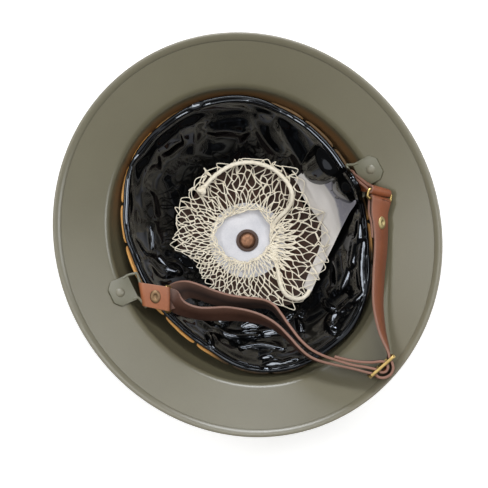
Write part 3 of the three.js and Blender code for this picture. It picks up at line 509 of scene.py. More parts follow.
class Effect(Enum):
    """Node groups that several finishes share."""

    MOTTLE = "Mottle"
    GRAIN = "Grain"
    WEAVE = "Weave"
    WORN = "Wear and painted light"


class EffectKit:
    """Builds each shared node group once."""

    COLOUR = "NodeSocketColor"
    NUMBER = "NodeSocketFloat"

    def __init__(self) -> None:
        """Makes the groups."""
        self.groups: dict[Effect, bpy.types.NodeTree] = {
            Effect.MOTTLE: self.mottle(),
            Effect.GRAIN: self.grain(),
            Effect.WEAVE: self.weave(),
            Effect.WORN: self.worn(),
        }

    def start(self, effect: Effect, inputs: dict[str, object],
              outputs: dict[str, str]) -> tuple[Graph, Sockets, Sockets, bpy.types.NodeSocket]:
        """Starts a group with its sockets.

        Args:
            effect: The group's name.
            inputs: Value of each input, a colour or a number.
            outputs: Kind of each output.

        Returns:
            The graph, the sockets that come in, those that go out, and the place on the piece.
        """
        tree = bpy.data.node_groups.new(effect.value, "ShaderNodeTree")
        for name, value in inputs.items():
            kind = self.COLOUR if isinstance(value, tuple) else self.NUMBER
            tree.interface.new_socket(name, in_out="INPUT", socket_type=kind).default_value = value
        for name, kind in outputs.items():
            tree.interface.new_socket(name, in_out="OUTPUT", socket_type=kind)
        graph = Graph(tree)
        given, out = graph.add("NodeGroupInput").outputs, graph.add("NodeGroupOutput").inputs
        return graph, given, out, graph.add("ShaderNodeTexCoord").outputs["Object"]

    def mottle(self) -> bpy.types.NodeTree:
        """Two colours in soft patches with fine specks.

        Returns:
            The group.
        """
        graph, given, out, place = self.start(
            Effect.MOTTLE,
            {"Low": (0, 0, 0, 1), "High": (1, 1, 1, 1), "Scale": 40.0, "Speck Scale": 900.0, "Speck": 0.2,
             "Contrast": 1.0},
            {"Color": self.COLOUR, "Value": self.NUMBER},
        )
        patch = graph.add("ShaderNodeTexNoise", Vector=place, Scale=given["Scale"], Detail=6.0, Roughness=0.6)
        speck = graph.add("ShaderNodeTexNoise", Vector=place, Scale=given["Speck Scale"], Detail=3.0,
                          Roughness=0.7)
        shift = graph.work_out("SUBTRACT", speck.outputs["Fac"], 0.5)
        both = graph.work_out("MULTIPLY_ADD", shift, given["Speck"], patch.outputs["Fac"])
        centre = graph.work_out("SUBTRACT", both, 0.5)
        share = graph.work_out("MULTIPLY_ADD", centre, given["Contrast"], 0.5, clamp=True)
        graph.feed(out["Color"], graph.blend(share, given["Low"], given["High"]))
        graph.feed(out["Value"], share)
        return graph.tree

    def grain(self) -> bpy.types.NodeTree:
        """Height of pebbled grain with finer roughness over it.

        Returns:
            The group.
        """
        graph, given, out, place = self.start(
            Effect.GRAIN,
            {"Pebble Scale": 900.0, "Pebble": 1.0, "Fine Scale": 2500.0, "Fine": 0.5},
            {"Height": self.NUMBER},
        )
        pebble = graph.add("ShaderNodeTexVoronoi", feature="SMOOTH_F1", Vector=place,
                           Scale=given["Pebble Scale"])
        fine = graph.add("ShaderNodeTexNoise", Vector=place, Scale=given["Fine Scale"], Detail=4.0,
                         Roughness=0.65)
        coarse = graph.work_out("MULTIPLY", pebble.outputs["Distance"], given["Pebble"])
        both = graph.work_out("MULTIPLY_ADD", fine.outputs["Fac"], given["Fine"], coarse)
        graph.feed(out["Height"], both)
        return graph.tree

    def weave(self) -> bpy.types.NodeTree:
        """Height of threads that cross at right angles.

        Returns:
            The group.
        """
        graph, given, out, place = self.start(Effect.WEAVE, {"Threads": 1500.0}, {"Height": self.NUMBER})
        waves = [
            graph.add("ShaderNodeTexWave", wave_type="BANDS", bands_direction=direction, wave_profile="SIN",
                      Vector=place, Scale=given["Threads"], Distortion=2.0, Detail=2.0, Detail_Scale=3.0)
            for direction in ("X", "Y")
        ]
        top = graph.work_out("MAXIMUM", *(wave.outputs["Fac"] for wave in waves))
        graph.feed(out["Height"], top)
        return graph.tree

    def worn(self) -> bpy.types.NodeTree:
        """Lays a second colour by a piece's wear attribute, broken up by noise: wear on most pieces, painted
        shade on the pads and the cotton's corner, and a painted reflection on the shell's inner wall.

        Returns:
            The group.
        """
        graph, given, out, place = self.start(
            Effect.WORN,
            {"Base": (0.5, 0.5, 0.5, 1), "Worn": (0.7, 0.6, 0.5, 1), "Breakup": 0.5},
            {"Color": self.COLOUR},
        )
        noise = graph.add("ShaderNodeTexNoise", Vector=place, Scale=300.0, Detail=5.0, Roughness=0.6)
        wear = graph.add("ShaderNodeAttribute", attribute_name="wear")
        shift = graph.work_out("SUBTRACT", noise.outputs["Fac"], 0.5)
        broken = graph.work_out("MULTIPLY_ADD", shift, given["Breakup"], 1.0)
        mask = graph.work_out("MULTIPLY", wear.outputs["Fac"], broken, clamp=True)
        graph.feed(out["Color"], graph.blend(mask, given["Base"], given["Worn"]))
        return graph.tree


def colour(red: int, green: int, blue: int) -> tuple[float, float, float, float]:
    """Gives a display colour from 0 to 255 as linear values."""
    parts = [c / 255 for c in (red, green, blue)]
    linear = [c / 12.92 if c <= 0.04045 else ((c + 0.055) / 1.055) ** 2.4 for c in parts]
    return linear[0], linear[1], linear[2], 1.0


@dataclass(frozen=True)
class Finish:
    """A surface: two mottled colours, gloss, grain or weave, and a colour for worn places, also used for
    painted shade and painted reflections.
    """

    name: str
    slot: str
    low: tuple[int, int, int]
    high: tuple[int, int, int]
    worn: tuple[int, int, int]
    rough: tuple[float, float] = (0.5, 0.6)
    metallic: float = 0.0
    specular: float = 0.5
    tint: tuple[float, float, float] = (1.0, 1.0, 1.0)
    sheen: float = 0.0
    patch: float = 40.0
    speck_scale: float = 900.0
    speck: float = 0.3
    contrast: float = 1.4
    pebble_scale: float = 900.0
    pebble: float = 0.0
    fine_scale: float = 2500.0
    fine: float = 0.5
    bump: float = 0.1
    bump_depth: float = 0.0002
    threads: float = 0.0
    breakup: float = 0.8

    def material(self, kit: EffectKit) -> bpy.types.Material:
        """Builds the material.

        Args:
            kit: The shared effects.

        Returns:
            The material.
        """
        made = bpy.data.materials.new(self.name)
        made.use_nodes = True
        graph = Graph(made.node_tree)
        shader = made.node_tree.nodes["Principled BSDF"]
        mottle = graph.add("ShaderNodeGroup", node_tree=kit.groups[Effect.MOTTLE], Low=colour(*self.low),
                           High=colour(*self.high), Scale=self.patch, Speck_Scale=self.speck_scale,
                           Speck=self.speck, Contrast=self.contrast)
        worn = graph.add("ShaderNodeGroup", node_tree=kit.groups[Effect.WORN], Base=mottle.outputs["Color"],
                         Worn=colour(*self.worn), Breakup=self.breakup)
        gloss = graph.add("ShaderNodeMapRange", Value=mottle.outputs["Value"], To_Min=self.rough[0],
                          To_Max=self.rough[1])
        settings = {
            "Base Color": worn.outputs["Color"], "Roughness": gloss.outputs["Result"],
            "Metallic": self.metallic, "Specular IOR Level": self.specular,
            "Specular Tint": (*self.tint, 1.0), "Sheen Weight": self.sheen,
            "Normal": self.relief(graph, kit),
        }
        for name, value in settings.items():
            graph.feed(shader.inputs[name], value)
        return made

    def relief(self, graph: Graph, kit: EffectKit) -> bpy.types.NodeSocket:
        """Adds the bump of a weave or, where there are no threads, of a grain.

        Args:
            graph: The material's graph.
            kit: The shared effects.

        Returns:
            The socket of the normal.
        """
        if self.threads:
            made = graph.add("ShaderNodeGroup", node_tree=kit.groups[Effect.WEAVE], Threads=self.threads)
        else:
            made = graph.add("ShaderNodeGroup", node_tree=kit.groups[Effect.GRAIN],
                             Pebble_Scale=self.pebble_scale, Pebble=self.pebble,
                             Fine_Scale=self.fine_scale, Fine=self.fine)
        bump = graph.add("ShaderNodeBump", Strength=self.bump, Distance=self.bump_depth,
                         Height=made.outputs["Height"])
        return bump.outputs["Normal"]


class Surface(Enum):
    """The finishes of the helmet's pieces."""

    PAINT = Finish("drab_paint", "khaki_paint", (100, 96, 77), (109, 105, 84), (134, 130, 114),
                   rough=(0.3, 0.37), patch=18, speck=0.5, contrast=1.2, pebble_scale=700, pebble=0.5,
                   fine_scale=1600, fine=0.6, bump=0.12, bump_depth=0.0003)
    # The shell's worn colour is a painted brown reflection of the tan pads on its inner wall
    SHELL = replace(PAINT, name="shell_paint", worn=(150, 96, 44))
    LUG = Finish("lug_paint", "lug_paint", (98, 97, 79), (112, 110, 91), (138, 134, 118),
                 rough=(0.4, 0.5), patch=60, fine=0.6)
    LEATHER = Finish("brown_leather", "leather", (120, 64, 36), (160, 92, 56), (140, 104, 90),
                     rough=(0.5, 0.64), specular=0.3, patch=55, speck_scale=700, speck=0.5, contrast=1.5,
                     pebble_scale=1300, pebble=1.0, fine_scale=2600, fine=0.4, bump=0.3, bump_depth=0.0003)
    # Painted shade: the strap's lower run, turned away from the lamps, is given this darker copy of the
    # leather
    DARK = replace(LEATHER, name="shaded_leather", low=(54, 34, 26), high=(80, 51, 39), worn=(134, 100, 86))
    TAB = replace(LEATHER, name="tab_leather", low=(140, 80, 48), high=(170, 104, 68), worn=(170, 122, 96),
                  rough=(0.46, 0.6), specular=0.35, patch=60)
    # The strap's back is dark as the leather's flesh side, and darker still as painted shade where it faces
    # in between the layers
    FLESH = Finish("leather_back", "leather", (28, 17, 13), (46, 28, 21), (150, 110, 92),
                   rough=(0.7, 0.85), patch=70, speck=0.6, contrast=1.5,
                   fine_scale=1500, fine=0.8, bump=0.4, bump_depth=0.0003)
    BRASS = Finish("worn_brass", "brass", (146, 122, 74), (190, 166, 108), (212, 190, 134),
                   rough=(0.28, 0.44), metallic=1.0, patch=120, contrast=1.6, bump=0.06)
    PATINA = Finish("dull_brass", "brass", (92, 70, 50), (132, 106, 76), (168, 146, 108),
                    rough=(0.42, 0.58), metallic=0.7, patch=240, speck=0.5, contrast=1.8)
    AGED = Finish("aged_brass", "brass", (142, 126, 86), (176, 160, 114), (200, 184, 140),
                  rough=(0.45, 0.6), metallic=0.7, patch=240, speck=0.5, contrast=1.6, bump=0.06)
    COPPER = Finish("dull_copper", "copper", (60, 40, 33), (100, 68, 52), (190, 144, 112),
                    rough=(0.34, 0.6), metallic=0.9, patch=420, speck=0.9, contrast=2.4, bump=0.5,
                    breakup=4.0)
    WASHER = Finish("dark_washer", "dark_steel", (54, 45, 42), (86, 73, 68), (126, 114, 106),
                    rough=(0.35, 0.5), metallic=1.0, patch=160, contrast=1.6, bump=0.12)
    OILCLOTH = Finish("black_oilcloth", "oilcloth", (4, 4, 5), (8, 8, 8), (40, 38, 36),
                      rough=(0.05, 0.08), specular=0.34, tint=(0.82, 0.89, 1.0), patch=30, contrast=1.2,
                      bump=0.0)
    BAND = Finish("tan_band", "tan_leather", (168, 124, 70), (198, 152, 92), (222, 188, 138),
                  rough=(0.55, 0.7), patch=60, pebble_scale=1200, pebble=0.8, bump=0.2)
    # The pads' worn colour is painted shade, laid on them where little light reaches
    PAD = Finish("tan_rubber", "tan_rubber", (196, 140, 70), (228, 174, 98), (40, 30, 16),
                 rough=(0.5, 0.65), patch=70, bump=0.15, breakup=0.3)
    FELT = Finish("brown_felt", "brown_felt", (44, 30, 24), (74, 48, 36), (104, 62, 44),
                  rough=(0.9, 1.0), sheen=0.2, patch=45, speck=0.9, contrast=1.8, fine_scale=1200,
                  fine=1.0, bump=0.6, bump_depth=0.0006)
    LABEL = Finish("bare_label", "label_paper", (196, 198, 205), (226, 226, 231), (150, 142, 132),
                   rough=(0.6, 0.8), patch=75, speck=0.5, contrast=1.8, fine_scale=900, bump=0.2)
    # The cotton's worn colour is painted shade on its turned corner
    COTTON = Finish("white_cotton", "cotton", (210, 206, 203), (230, 227, 224), (144, 143, 154),
                    rough=(0.8, 0.95), sheen=0.1, contrast=1.3, threads=420, bump=0.18,
                    bump_depth=0.0003)
    STRING = Finish("cream_string", "cream_string", (224, 214, 192), (246, 240, 224), (176, 158, 128),
                    rough=(0.8, 0.95), sheen=0.15, patch=110, speck=0.8, contrast=1.5, fine_scale=1800,
                    fine=1.0, bump=0.5, bump_depth=0.0003)


class Workshop:
    """Turns shapes into pieces that ride on the helmet."""

    def __init__(self) -> None:
        """Builds the materials."""
        kit = EffectKit()
        self.materials = {s: s.value.material(kit) for s in Surface}

    def piece(self, name: str, shape: Shape, surface: Surface, replaces: Sequence[str] = (),
              sharp: float = 35.0, wear: Optional[Array] = None,
              others: Sequence[tuple[Surface, Array]] = ()) -> bpy.types.Object:
        """Makes a piece from points in millimetres.

        Args:
            name: The piece's name.
            shape: Points and faces.
            surface: Its finish.
            replaces: The solids that it stands for.
            sharp: Angle in degrees over which an edge stays sharp.
            wear: Wear from 0 to 1 at each point; on the pads and the cotton's corner it is painted shade, on
                the shell a painted reflection.
            others: Further finishes, each with the faces that have it.

        Returns:
            The object.
        """
        mesh = bpy.data.meshes.new(name)
        mesh.from_pydata((shape[0] * MM).tolist(), [], shape[1])
        made = bmesh.new()
        made.from_mesh(mesh)
        bmesh.ops.recalc_face_normals(made, faces=made.faces)
        made.to_mesh(mesh)
        made.free()
        mesh.shade_smooth()
        mesh.set_sharp_from_angle(angle=math.radians(sharp))
        if wear is not None:
            store = mesh.attributes.new("wear", "FLOAT", "POINT")
            store.data.foreach_set("value", np.clip(wear, 0, 1).astype(np.float32))
        mesh.materials.append(self.materials[surface])
        index = np.zeros(len(mesh.polygons), np.int32)
        for number, (other, where) in enumerate(others, 1):
            mesh.materials.append(self.materials[other])
            index[where] = number
        mesh.polygons.foreach_set("material_index", index)
        made_object = bpy.data.objects.new(name, mesh)
        bpy.context.scene.collection.objects.link(made_object)
        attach(made_object, BODY)
        if replaces:
            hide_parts(*replaces)
        LOG.info("%s: %d points, %d faces", name, len(mesh.vertices), len(mesh.polygons))
        return made_object

    @staticmethod
    def plate(outline: Sequence[tuple[float, float]], thick: float, bevel: float,
              holes: Sequence[Sequence[tuple[float, float]]] = ()) -> Shape:
        """Cuts a flat plate with softened edges.

        Args:
            outline: Corners in order.
            thick: Thickness.
            bevel: Size of the softened edge.
            holes: Corners of each hole.

        Returns:
            The shape, with its lower face on zero.
        """
        made = bmesh.new()
        edges = []
        for loop in (outline, *holes):
            verts = [made.verts.new((x, y, 0.0)) for x, y in loop]
            edges += [made.edges.new((a, b)) for a, b in zip(verts, verts[1:] + verts[:1])]
        bmesh.ops.triangle_fill(made, use_beauty=True, edges=edges)
        grown = bmesh.ops.extrude_face_region(made, geom=made.faces[:])
        lifted = [g for g in grown["geom"] if isinstance(g, bmesh.types.BMVert)]
        bmesh.ops.translate(made, verts=lifted, vec=(0.0, 0.0, thick))
        bmesh.ops.recalc_face_normals(made, faces=made.faces)
        bmesh.ops.dissolve_limit(made, angle_limit=0.02, verts=made.verts, edges=made.edges)
        corners = [e for e in made.edges if len(e.link_faces) == 2 and e.calc_face_angle() > 0.5]
        bmesh.ops.bevel(made, geom=corners, offset=bevel, segments=2, affect="EDGES", profile=0.5)
        made.verts.index_update()
        points = np.array([v.co[:] for v in made.verts])
        faces = [tuple(v.index for v in f.verts) for f in made.faces]
        made.free()
        return points, faces


def placed(shape: Shape, origin: Array, x: Array, y: Array, z: Array) -> Shape:
    """Moves a shape into a frame of three directions."""
    basis = np.stack([x, y, z])
    return shape[0] @ basis + origin, shape[1]


@dataclass
class Steel:
    """The shell, its rim strip, and the two lugs with their rivets."""

    edge_half_length: float = 152.5
    waist_half_length: float = 113.9
    waist_narrower: float = 11.5
    edge_narrower: float = 9.7
    steel: float = 1.0
    crown_radius: float = 130.0
    crown_reach: float = 57.0
    wall_angle: float = 79.0
    lip_radius: float = 6.5
    brim_angle: float = 24.5
    crown_lift: float = 1.6
    crown_hole: float = 3.0
    gap: float = 0.3
    rim_reach: float = 5.0
    rim_sheet: float = 0.6
    lug_forward: float = 3.1
    lug_inner: float = 95.5
    lug_length: float = 19.0
    lug_half_width: float = 10.0
    lug_clip: float = 4.5
    lug_sheet: float = 1.2
    lug_seat: float = 0.7
    lug_rivet_at: float = 105.8
    bail_wire: float = 1.1
    # Strength and heights of the painted brown reflection of the pads on the shell's inner wall
    tint: float = 0.5
    pad_reflection_heights: tuple[float, float, float, float] = (60.0, 74.0, 82.0, 88.0)
    around: int = 240
    lip_end: tuple[float, float] = field(init=False)
    brim_end: tuple[float, float, float] = field(init=False)

    def profile(self) -> Array:
        """Gives the shell's outer line: half length, height and slope angle.

        Returns:
            Rows of half length, height and slope angle.
        """
        a1 = math.asin(self.crown_reach / self.crown_radius)
        a2, a3 = math.radians(self.wall_angle), math.radians(self.brim_angle)
        rows = []
        for a in np.linspace(math.asin(self.crown_hole / self.crown_radius), a1, 16):
            rise = self.crown_radius * (1 - math.cos(a))
            rows.append((self.crown_radius * math.sin(a), self.crown_lift + rise, a))
        wall = (self.waist_half_length - self.crown_reach) / (math.sin(a2) - math.sin(a1))
        r, z, _ = rows[-1]
        for a in np.linspace(a1, a2, 26)[1:]:
            rows.append((r + wall * (math.sin(a) - math.sin(a1)), z + wall * (math.cos(a1) - math.cos(a)), a))
        r, z, _ = rows[-1]
        for a in np.linspace(a2, a3, 14)[1:]:
            rows.append((r + self.lip_radius * (math.sin(a2) - math.sin(a)),
                         z + self.lip_radius * (math.cos(a) - math.cos(a2)), a))
        r, z, _ = rows[-1]
        edge = self.edge_half_length - self.gap - self.rim_sheet
        for t in np.linspace(0, 1, 12)[1:]:
            rows.append((r + (edge - r) * t, z + (edge - r) * t * math.tan(a3), a3))
        self.lip_end = (r, z)
        self.brim_end = rows[-1]
        return np.array(rows)

    def half_width(self, r: Array) -> Array:
        """Gives the half width of the oval whose half length is r."""
        r = np.asarray(r, float)
        t = (r - self.waist_half_length) / (self.edge_half_length - self.waist_half_length)
        inner = r * (1 - self.waist_narrower / self.waist_half_length)
        outer = r - self.waist_narrower - (self.edge_narrower - self.waist_narrower) * t
        return np.where(r <= self.waist_half_length, inner, outer)

    def oval(self, section: Array) -> Shape:
        """Carries a closed section of radius and height round the oval."""
        turn = 2 * np.pi * np.arange(self.around) / self.around
        x = self.half_width(section[:, 0])[None, :] * np.cos(turn)[:, None]
        y = section[None, :, 0] * np.sin(turn)[:, None]
        z = np.broadcast_to(section[None, :, 1], x.shape)
        return loft(np.stack([x, y, z], axis=-1), True)

    def over_brim(self, side: Side, x: float, y: float, lift: float) -> Array:
        """Gives a point square over the brim beside the ear.

        Args:
            side: Side of the helmet.
            x: Distance outward.
            y: Distance forward.
            lift: Height square to the brim.

        Returns:
            The point.
        """
        slope = self.side_slope()
        low = float(self.half_width(self.lip_end[0]))
        z = self.lip_end[1] + (x - low) * math.tan(slope)
        return np.array([side.value * (x - lift * math.sin(slope)), y, z + lift * math.cos(slope)])

    def side_slope(self) -> float:
        """Gives the brim's slope beside the ear."""
        low, high = (float(self.half_width(r[0])) for r in (self.lip_end, self.brim_end))
        return math.atan2(self.brim_end[1] - self.lip_end[1], high - low)

    def build(self, shop: Workshop) -> None:
        """Builds and dresses every steel piece.

        Args:
            shop: Where the pieces are made.
        """
        rows = self.profile()
        outer = rows[:, :2]
        inner = np.stack([rows[:, 0] - self.steel * np.sin(rows[:, 2]),
                          rows[:, 1] + self.steel * np.cos(rows[:, 2])], axis=1)
        inner[0, 0] = outer[0, 0]
        shell = self.oval(np.vstack([outer, inner[::-1]]))
        x, y, z = shell[0].T
        # Painted reflection: between band and brim, on the inner wall towards the picture's top, the shell
        # takes its brown worn colour as if it mirrored the tan pads
        start, full, fading, gone = self.pad_reflection_heights
        deep = ease(z, start, full) * (1 - ease(z, fading, gone))
        far = ease(np.sin(np.arctan2(y, x) - TURN), -0.1, 0.5)
        inside = np.tile(np.arange(2 * len(rows)) >= len(rows), self.around)
        shop.piece("steel_shell", shell, Surface.SHELL, ["shell"], sharp=60,
                   wear=self.tint * deep * far * inside)
        self.build_rim(shop)
        for side in Side:
            self.build_lug(shop, side)

    def build_rim(self, shop: Workshop) -> None:
        """Folds the rim strip over the brim's edge.

        Args:
            shop: Where the pieces are made.
        """
        r, z, a = self.brim_end
        top, low = self.steel + 0.1, -0.15
        outside = self.gap + self.rim_sheet
        soft = 0.35
        bend = [(math.sin(t), math.cos(t)) for t in np.linspace(0, math.pi, 9)]
        middle, reach = (top + low) / 2, (top - low) / 2 + self.rim_sheet
        rows = [(-self.rim_reach, top), (-self.rim_reach, top + self.rim_sheet - soft),
                (-self.rim_reach + soft, top + self.rim_sheet)]
        rows += [(self.gap - 0.8 + (outside - self.gap + 0.8) * s, middle + reach * c) for s, c in bend]
        rows += [(-self.rim_reach + soft, low - self.rim_sheet),
                 (-self.rim_reach, low - self.rim_sheet + soft), (-self.rim_reach, low),
                 (self.gap - 0.9, low), (self.gap - 0.6, middle), (self.gap - 0.9, top)]
        section = np.array([(r + s * math.cos(a) - n * math.sin(a), z + s * math.sin(a) + n * math.cos(a))
                            for s, n in rows])
        wear = np.tile([0.3, 0.5, 0.4] + [0.15 + 0.75 * s for s, _ in bend] + [0.3] * 6, self.around)
        shop.piece("rim_fold", self.oval(section), Surface.PAINT, ["rim_strip"], sharp=50, wear=wear)

    def build_lug(self, shop: Workshop, side: Side) -> None:
        """Builds a lug plate, its wire bail and its rivet.

        Args:
            shop: Where the pieces are made.
            side: Side of the helmet.
        """
        slope, way = self.side_slope(), side.value
        w, long, clip = self.lug_half_width, self.lug_length, self.lug_clip
        outline = [(0, -w), (long - clip, -w), (long, -w + clip), (long, w - clip), (long - clip, w), (0, w)]
        outward = np.array([way * math.cos(slope), 0.0, math.sin(slope)])
        normal = np.array([-way * math.sin(slope), 0.0, math.cos(slope)])
        forward = np.array([0.0, float(way), 0.0])
        seat = self.steel + self.lug_seat
        base = self.over_brim(side, self.lug_inner, self.lug_forward, seat)
        plate = placed(Workshop.plate(outline, self.lug_sheet, 0.3), base, outward, forward, normal)

        def leg(out: float, y: float) -> Array:
            """Gives a place on the bail inside the plate, out and forward from its inner edge."""
            return self.over_brim(side, self.lug_inner + out, self.lug_forward + y, seat + self.lug_sheet / 2)

        far, near = (np.array(corner) for corner in BAILS[side])
        bend = WIRE_BEND
        inset = bend * unit(far - near)
        far_leg, near_leg = bend * unit(leg(0, w - 0.6) - far), bend * unit(leg(0, 0.6 - w) - near)
        line = np.array([leg(4, w - 1.5), leg(0, w - 0.6), far + far_leg, far - inset, near + inset,
                         near + near_leg, leg(0, 0.6 - w), leg(4, 1.5 - w)])
        bail = tube(spline(line, 6), self.bail_wire, 10)
        shop.piece(f"lug_plate_{side.word}", join([plate, bail]), Surface.LUG, [f"lug_{side.word}"], sharp=40)
        top = seat + self.lug_sheet
        dome = soften([(0.0, top + 1.7), (1.8, top + 1.45), (2.9, top + 0.85), (3.5, top + 0.35),
                       (3.6, top)], 4)
        shank = [(2.2, top), (2.2, -0.9), (1.9, -1.2), (0.0, -1.2)]
        at = self.over_brim(side, self.lug_rivet_at, self.lug_forward, 0)
        head = placed(lathe(dome + shank, 28), at, outward, forward, normal)
        wear = np.tile([0.5] * len(dome) + [0.0] * len(shank), 28)
        shop.piece(f"lug_dome_{side.word}", head, Surface.LUG, [f"lug_rivet_{side.word}"], sharp=50,
                   wear=wear)


@dataclass
class ChinStrap:
    """The leather strap, its tabs, rings, slide and rivets."""

    width: float = 16.5
    thick: float = 2.0
    steps: int = 5
    tab_thick: float = 2.0
    tab_slack: float = 0.2
    ring_wire: float = 1.1
    bail_wire: float = 1.1
    slide_half: tuple[float, float] = (12.2, 10.6)
    slide_edge: float = 1.8
    slide_bar: float = 1.0
    slide_thick: float = 2.4
    slide_clip: float = 1.6
    slide_heading: float = 41.0
    shaded_run: tuple[int, int] = (24, 47)
    slide_at: tuple[float, float, float] = (97.7, -97.9, 119.8)
    right_tail: tuple[StrapRow, ...] = tuple(starmap(StrapRow, (
        (97.3, -3, 104.0, 180, 51), (97.1, 8, 104.1, 177, 46), (96.0, 15.5, 103.8, 174, 40),
    )))
    down: tuple[StrapRow, ...] = tuple(starmap(StrapRow, (
        (98.3, 15.5, 106.6, 174, 40), (98.9, 8, 105.8, 177, 46), (99.2, -3, 105.6, 180, 51),
        (98.6, -15, 106.6, 180, 54), (97.0, -32, 109.0, 180, 57), (96.2, -53, 112.2, 181, 61),
        (98.6, -72, 116.0, 188, 70), (102.6, -86, 119.0, 195, 82),
    )))
    lower: tuple[StrapRow, ...] = tuple(starmap(StrapRow, (
        (88.4, -102.6, 119.4, 75, 90), (76.5, -99.6, 116.8, 75, 90), (63.9, -96.9, 113.0, 75, 90),
        (52.5, -94.2, 109.2, 70, 88), (44.6, -90.6, 105.8, 60, 86), (37.6, -85.0, 102.6, 48, 84),
        (30.4, -77.4, 99.4, 44, 82), (23.6, -71.0, 97.0, 46, 78), (17.0, -66.6, 95.0, 56, 73),
        (9.2, -63.2, 93.2, 66, 67), (1.6, -61.2, 91.6, 73, 62), (-7.0, -59.8, 90.0, 80, 58),
        (-16.0, -59.2, 88.8, 85, 53), (-25.4, -59.4, 87.8, 88, 55), (-34.4, -59.2, 87.0, 91, 57),
        (-42.0, -57.8, 86.6, 94, 55), (-48.4, -55.6, 86.4, 97, 46), (-53.2, -52.6, 86.0, 97, 28),
    )))
    upper: tuple[StrapRow, ...] = tuple(starmap(StrapRow, (
        (-53.4, -43.4, 82.2, 90, 18), (-45.6, -40.8, 84.2, 84, 42), (-36.6, -42.8, 86.0, 78, 50),
        (-28.5, -45.8, 87.0, 76, 52), (-20.4, -48.3, 87.8, 76, 53), (-12.8, -50.2, 88.6, 78, 54),
        (-2.2, -51.0, 90.0, 84, 60), (7.4, -51.2, 91.2, 86, 66), (14.2, -52.2, 92.8, 72, 72),
        (19.6, -55.2, 94.4, 48, 77), (24.0, -60.4, 96.2, 36, 80), (30.6, -69.2, 99.2, 39, 83),
        (38.7, -79.2, 102.4, 48, 85), (47.0, -86.2, 105.8, 58, 87), (56.2, -90.6, 109.6, 66, 89),
        (65.3, -93.6, 113.4, 71, 90), (76.5, -96.9, 117.0, 71, 90), (86.4, -98.6, 119.4, 71, 90),
    )))
    end: tuple[StrapRow, ...] = tuple(starmap(StrapRow, (
        (91.0, -94.9, 119.4, 75, 90), (84.6, -94.8, 118.8, 78, 90), (79.4, -94.3, 117.8, 74, 90),
        (72.5, -93.1, 116.2, 72, 90), (65.5, -91.3, 114.4, 71, 90),
    )))
    outer_turn: tuple[tuple[float, float], ...] = (
        (8.1, -0.8), (7.3, 2.6), (5.2, 6.4), (0.9, 8.5), (-3.9, 7.4), (-6.9, 4.2), (-7.4, 0.8),
    )
    inner_turn: tuple[tuple[float, float], ...] = (
        (-3.9, 0.2), (-3.4, 2.7), (-0.6, 4.6), (2.6, 3.6), (3.7, 0.8), (2.6, -2.6),
    )

    def rings(self) -> dict[Side, WireRing]:
        """Gives the two brass rings."""
        return {
            Side.LEFT: WireRing(turned(-61.6, -48.0, 88.6), turned(-58.2, -48.6, 83.0),
                                unit(turned(0, 1)), 9.6),
            Side.RIGHT: WireRing(turned(98.6, 31.4, 107.2), turned(97.4, 24.6, 106.4),
                                 unit(turned(-0.85, 0.17, 0.5)), 10.4, 1.0, -1.0),
        }

    def build(self, shop: Workshop) -> None:
        """Builds and dresses the strap and what is on it.

        Args:
            shop: Where the pieces are made.
        """
        rings = self.rings()
        for side, ring in rings.items():
            self.build_ring(shop, side, ring)
        middle, normal, along = self.build_tab(shop, Side.LEFT, turned(-77.4, -45.2, 90),
                                               unit(turned(-0.173, 0.985)), rings[Side.LEFT], 9.2)
        self.build_rivet(shop, "tab_rivet_head", "tab_rivet_left", middle, normal, along, 2.5, (5.0, 4.0))
        far, near = (np.array(corner) for corner in BAILS[Side.RIGHT])
        self.build_tab(shop, Side.RIGHT, turned(81.0, 40.7, 90.5), unit(far - near), rings[Side.RIGHT], 8.2,
                       Surface.LEATHER)
        self.build_slide(shop)
        self.build_strap(shop, rings)
        lean = math.radians(46)
        upward = turned(math.sin(lean), 0, math.cos(lean))
        self.build_rivet(shop, "strap_rivet_head", "strap_rivet", turned(98.0, 8.0, 104.95), upward,
                         turned(0, 1), 2.3, (4.8, 3.9), Surface.AGED)

    def build_ring(self, shop: Workshop, side: Side, ring: WireRing) -> None:
        """Bends a brass ring of wire.

        Args:
            shop: Where the piece is made.
            side: Side of the helmet.
            ring: The ring.
        """
        bend = WIRE_BEND
        along, across = ring.along, unit(ring.strap - ring.tab)
        line = []
        for base, sx, sy in ((ring.strap, 1, 1), (ring.strap, -1, 1), (ring.tab, -1, -1), (ring.tab, 1, -1)):
            centre = base + along * sx * (ring.half - bend) - across * sy * bend
            steps = np.linspace(0, 1, 6)
            for t in steps if sx * sy > 0 else steps[::-1]:
                turn = t * math.pi / 2
                line.append(centre + along * sx * bend * math.cos(turn) + across * sy * bend * math.sin(turn))
        shop.piece(f"brass_ring_{side.word}", tube(np.array(line), self.ring_wire, 12, True), Surface.BRASS,
                   [f"strap_ring_{side.word}"], sharp=60)

    def build_tab(self, shop: Workshop, side: Side, start: Array, start_along: Array, ring: WireRing,
                  w: float, surface: Surface = Surface.TAB) -> tuple[Array, Array, Array]:
        """Doubles a leather tab round a bail and a ring.

        Args:
            shop: Where the piece is made.
            side: Side of the helmet.
            start: Middle of the bail's bar.
            start_along: Direction of the bail's bar.
            ring: The ring that it holds.
            w: Half its width.
            surface: Its finish.

        Returns:
            Middle, normal and direction for a rivet.
        """
        end, end_along = ring.tab + ring.along * ring.tab_slip, ring.along
        eye = self.bail_wire + self.tab_slack + self.tab_thick / 2
        pinch = self.tab_thick / 2 + 0.2
        arc = ((1.0, 0.0), (0.92, 0.38), (0.71, 0.71), (0.38, 0.92), (0.0, 1.0))
        facing = unit(np.cross(end - start, start_along + end_along))
        facing = -facing if facing[2] < 0 else facing

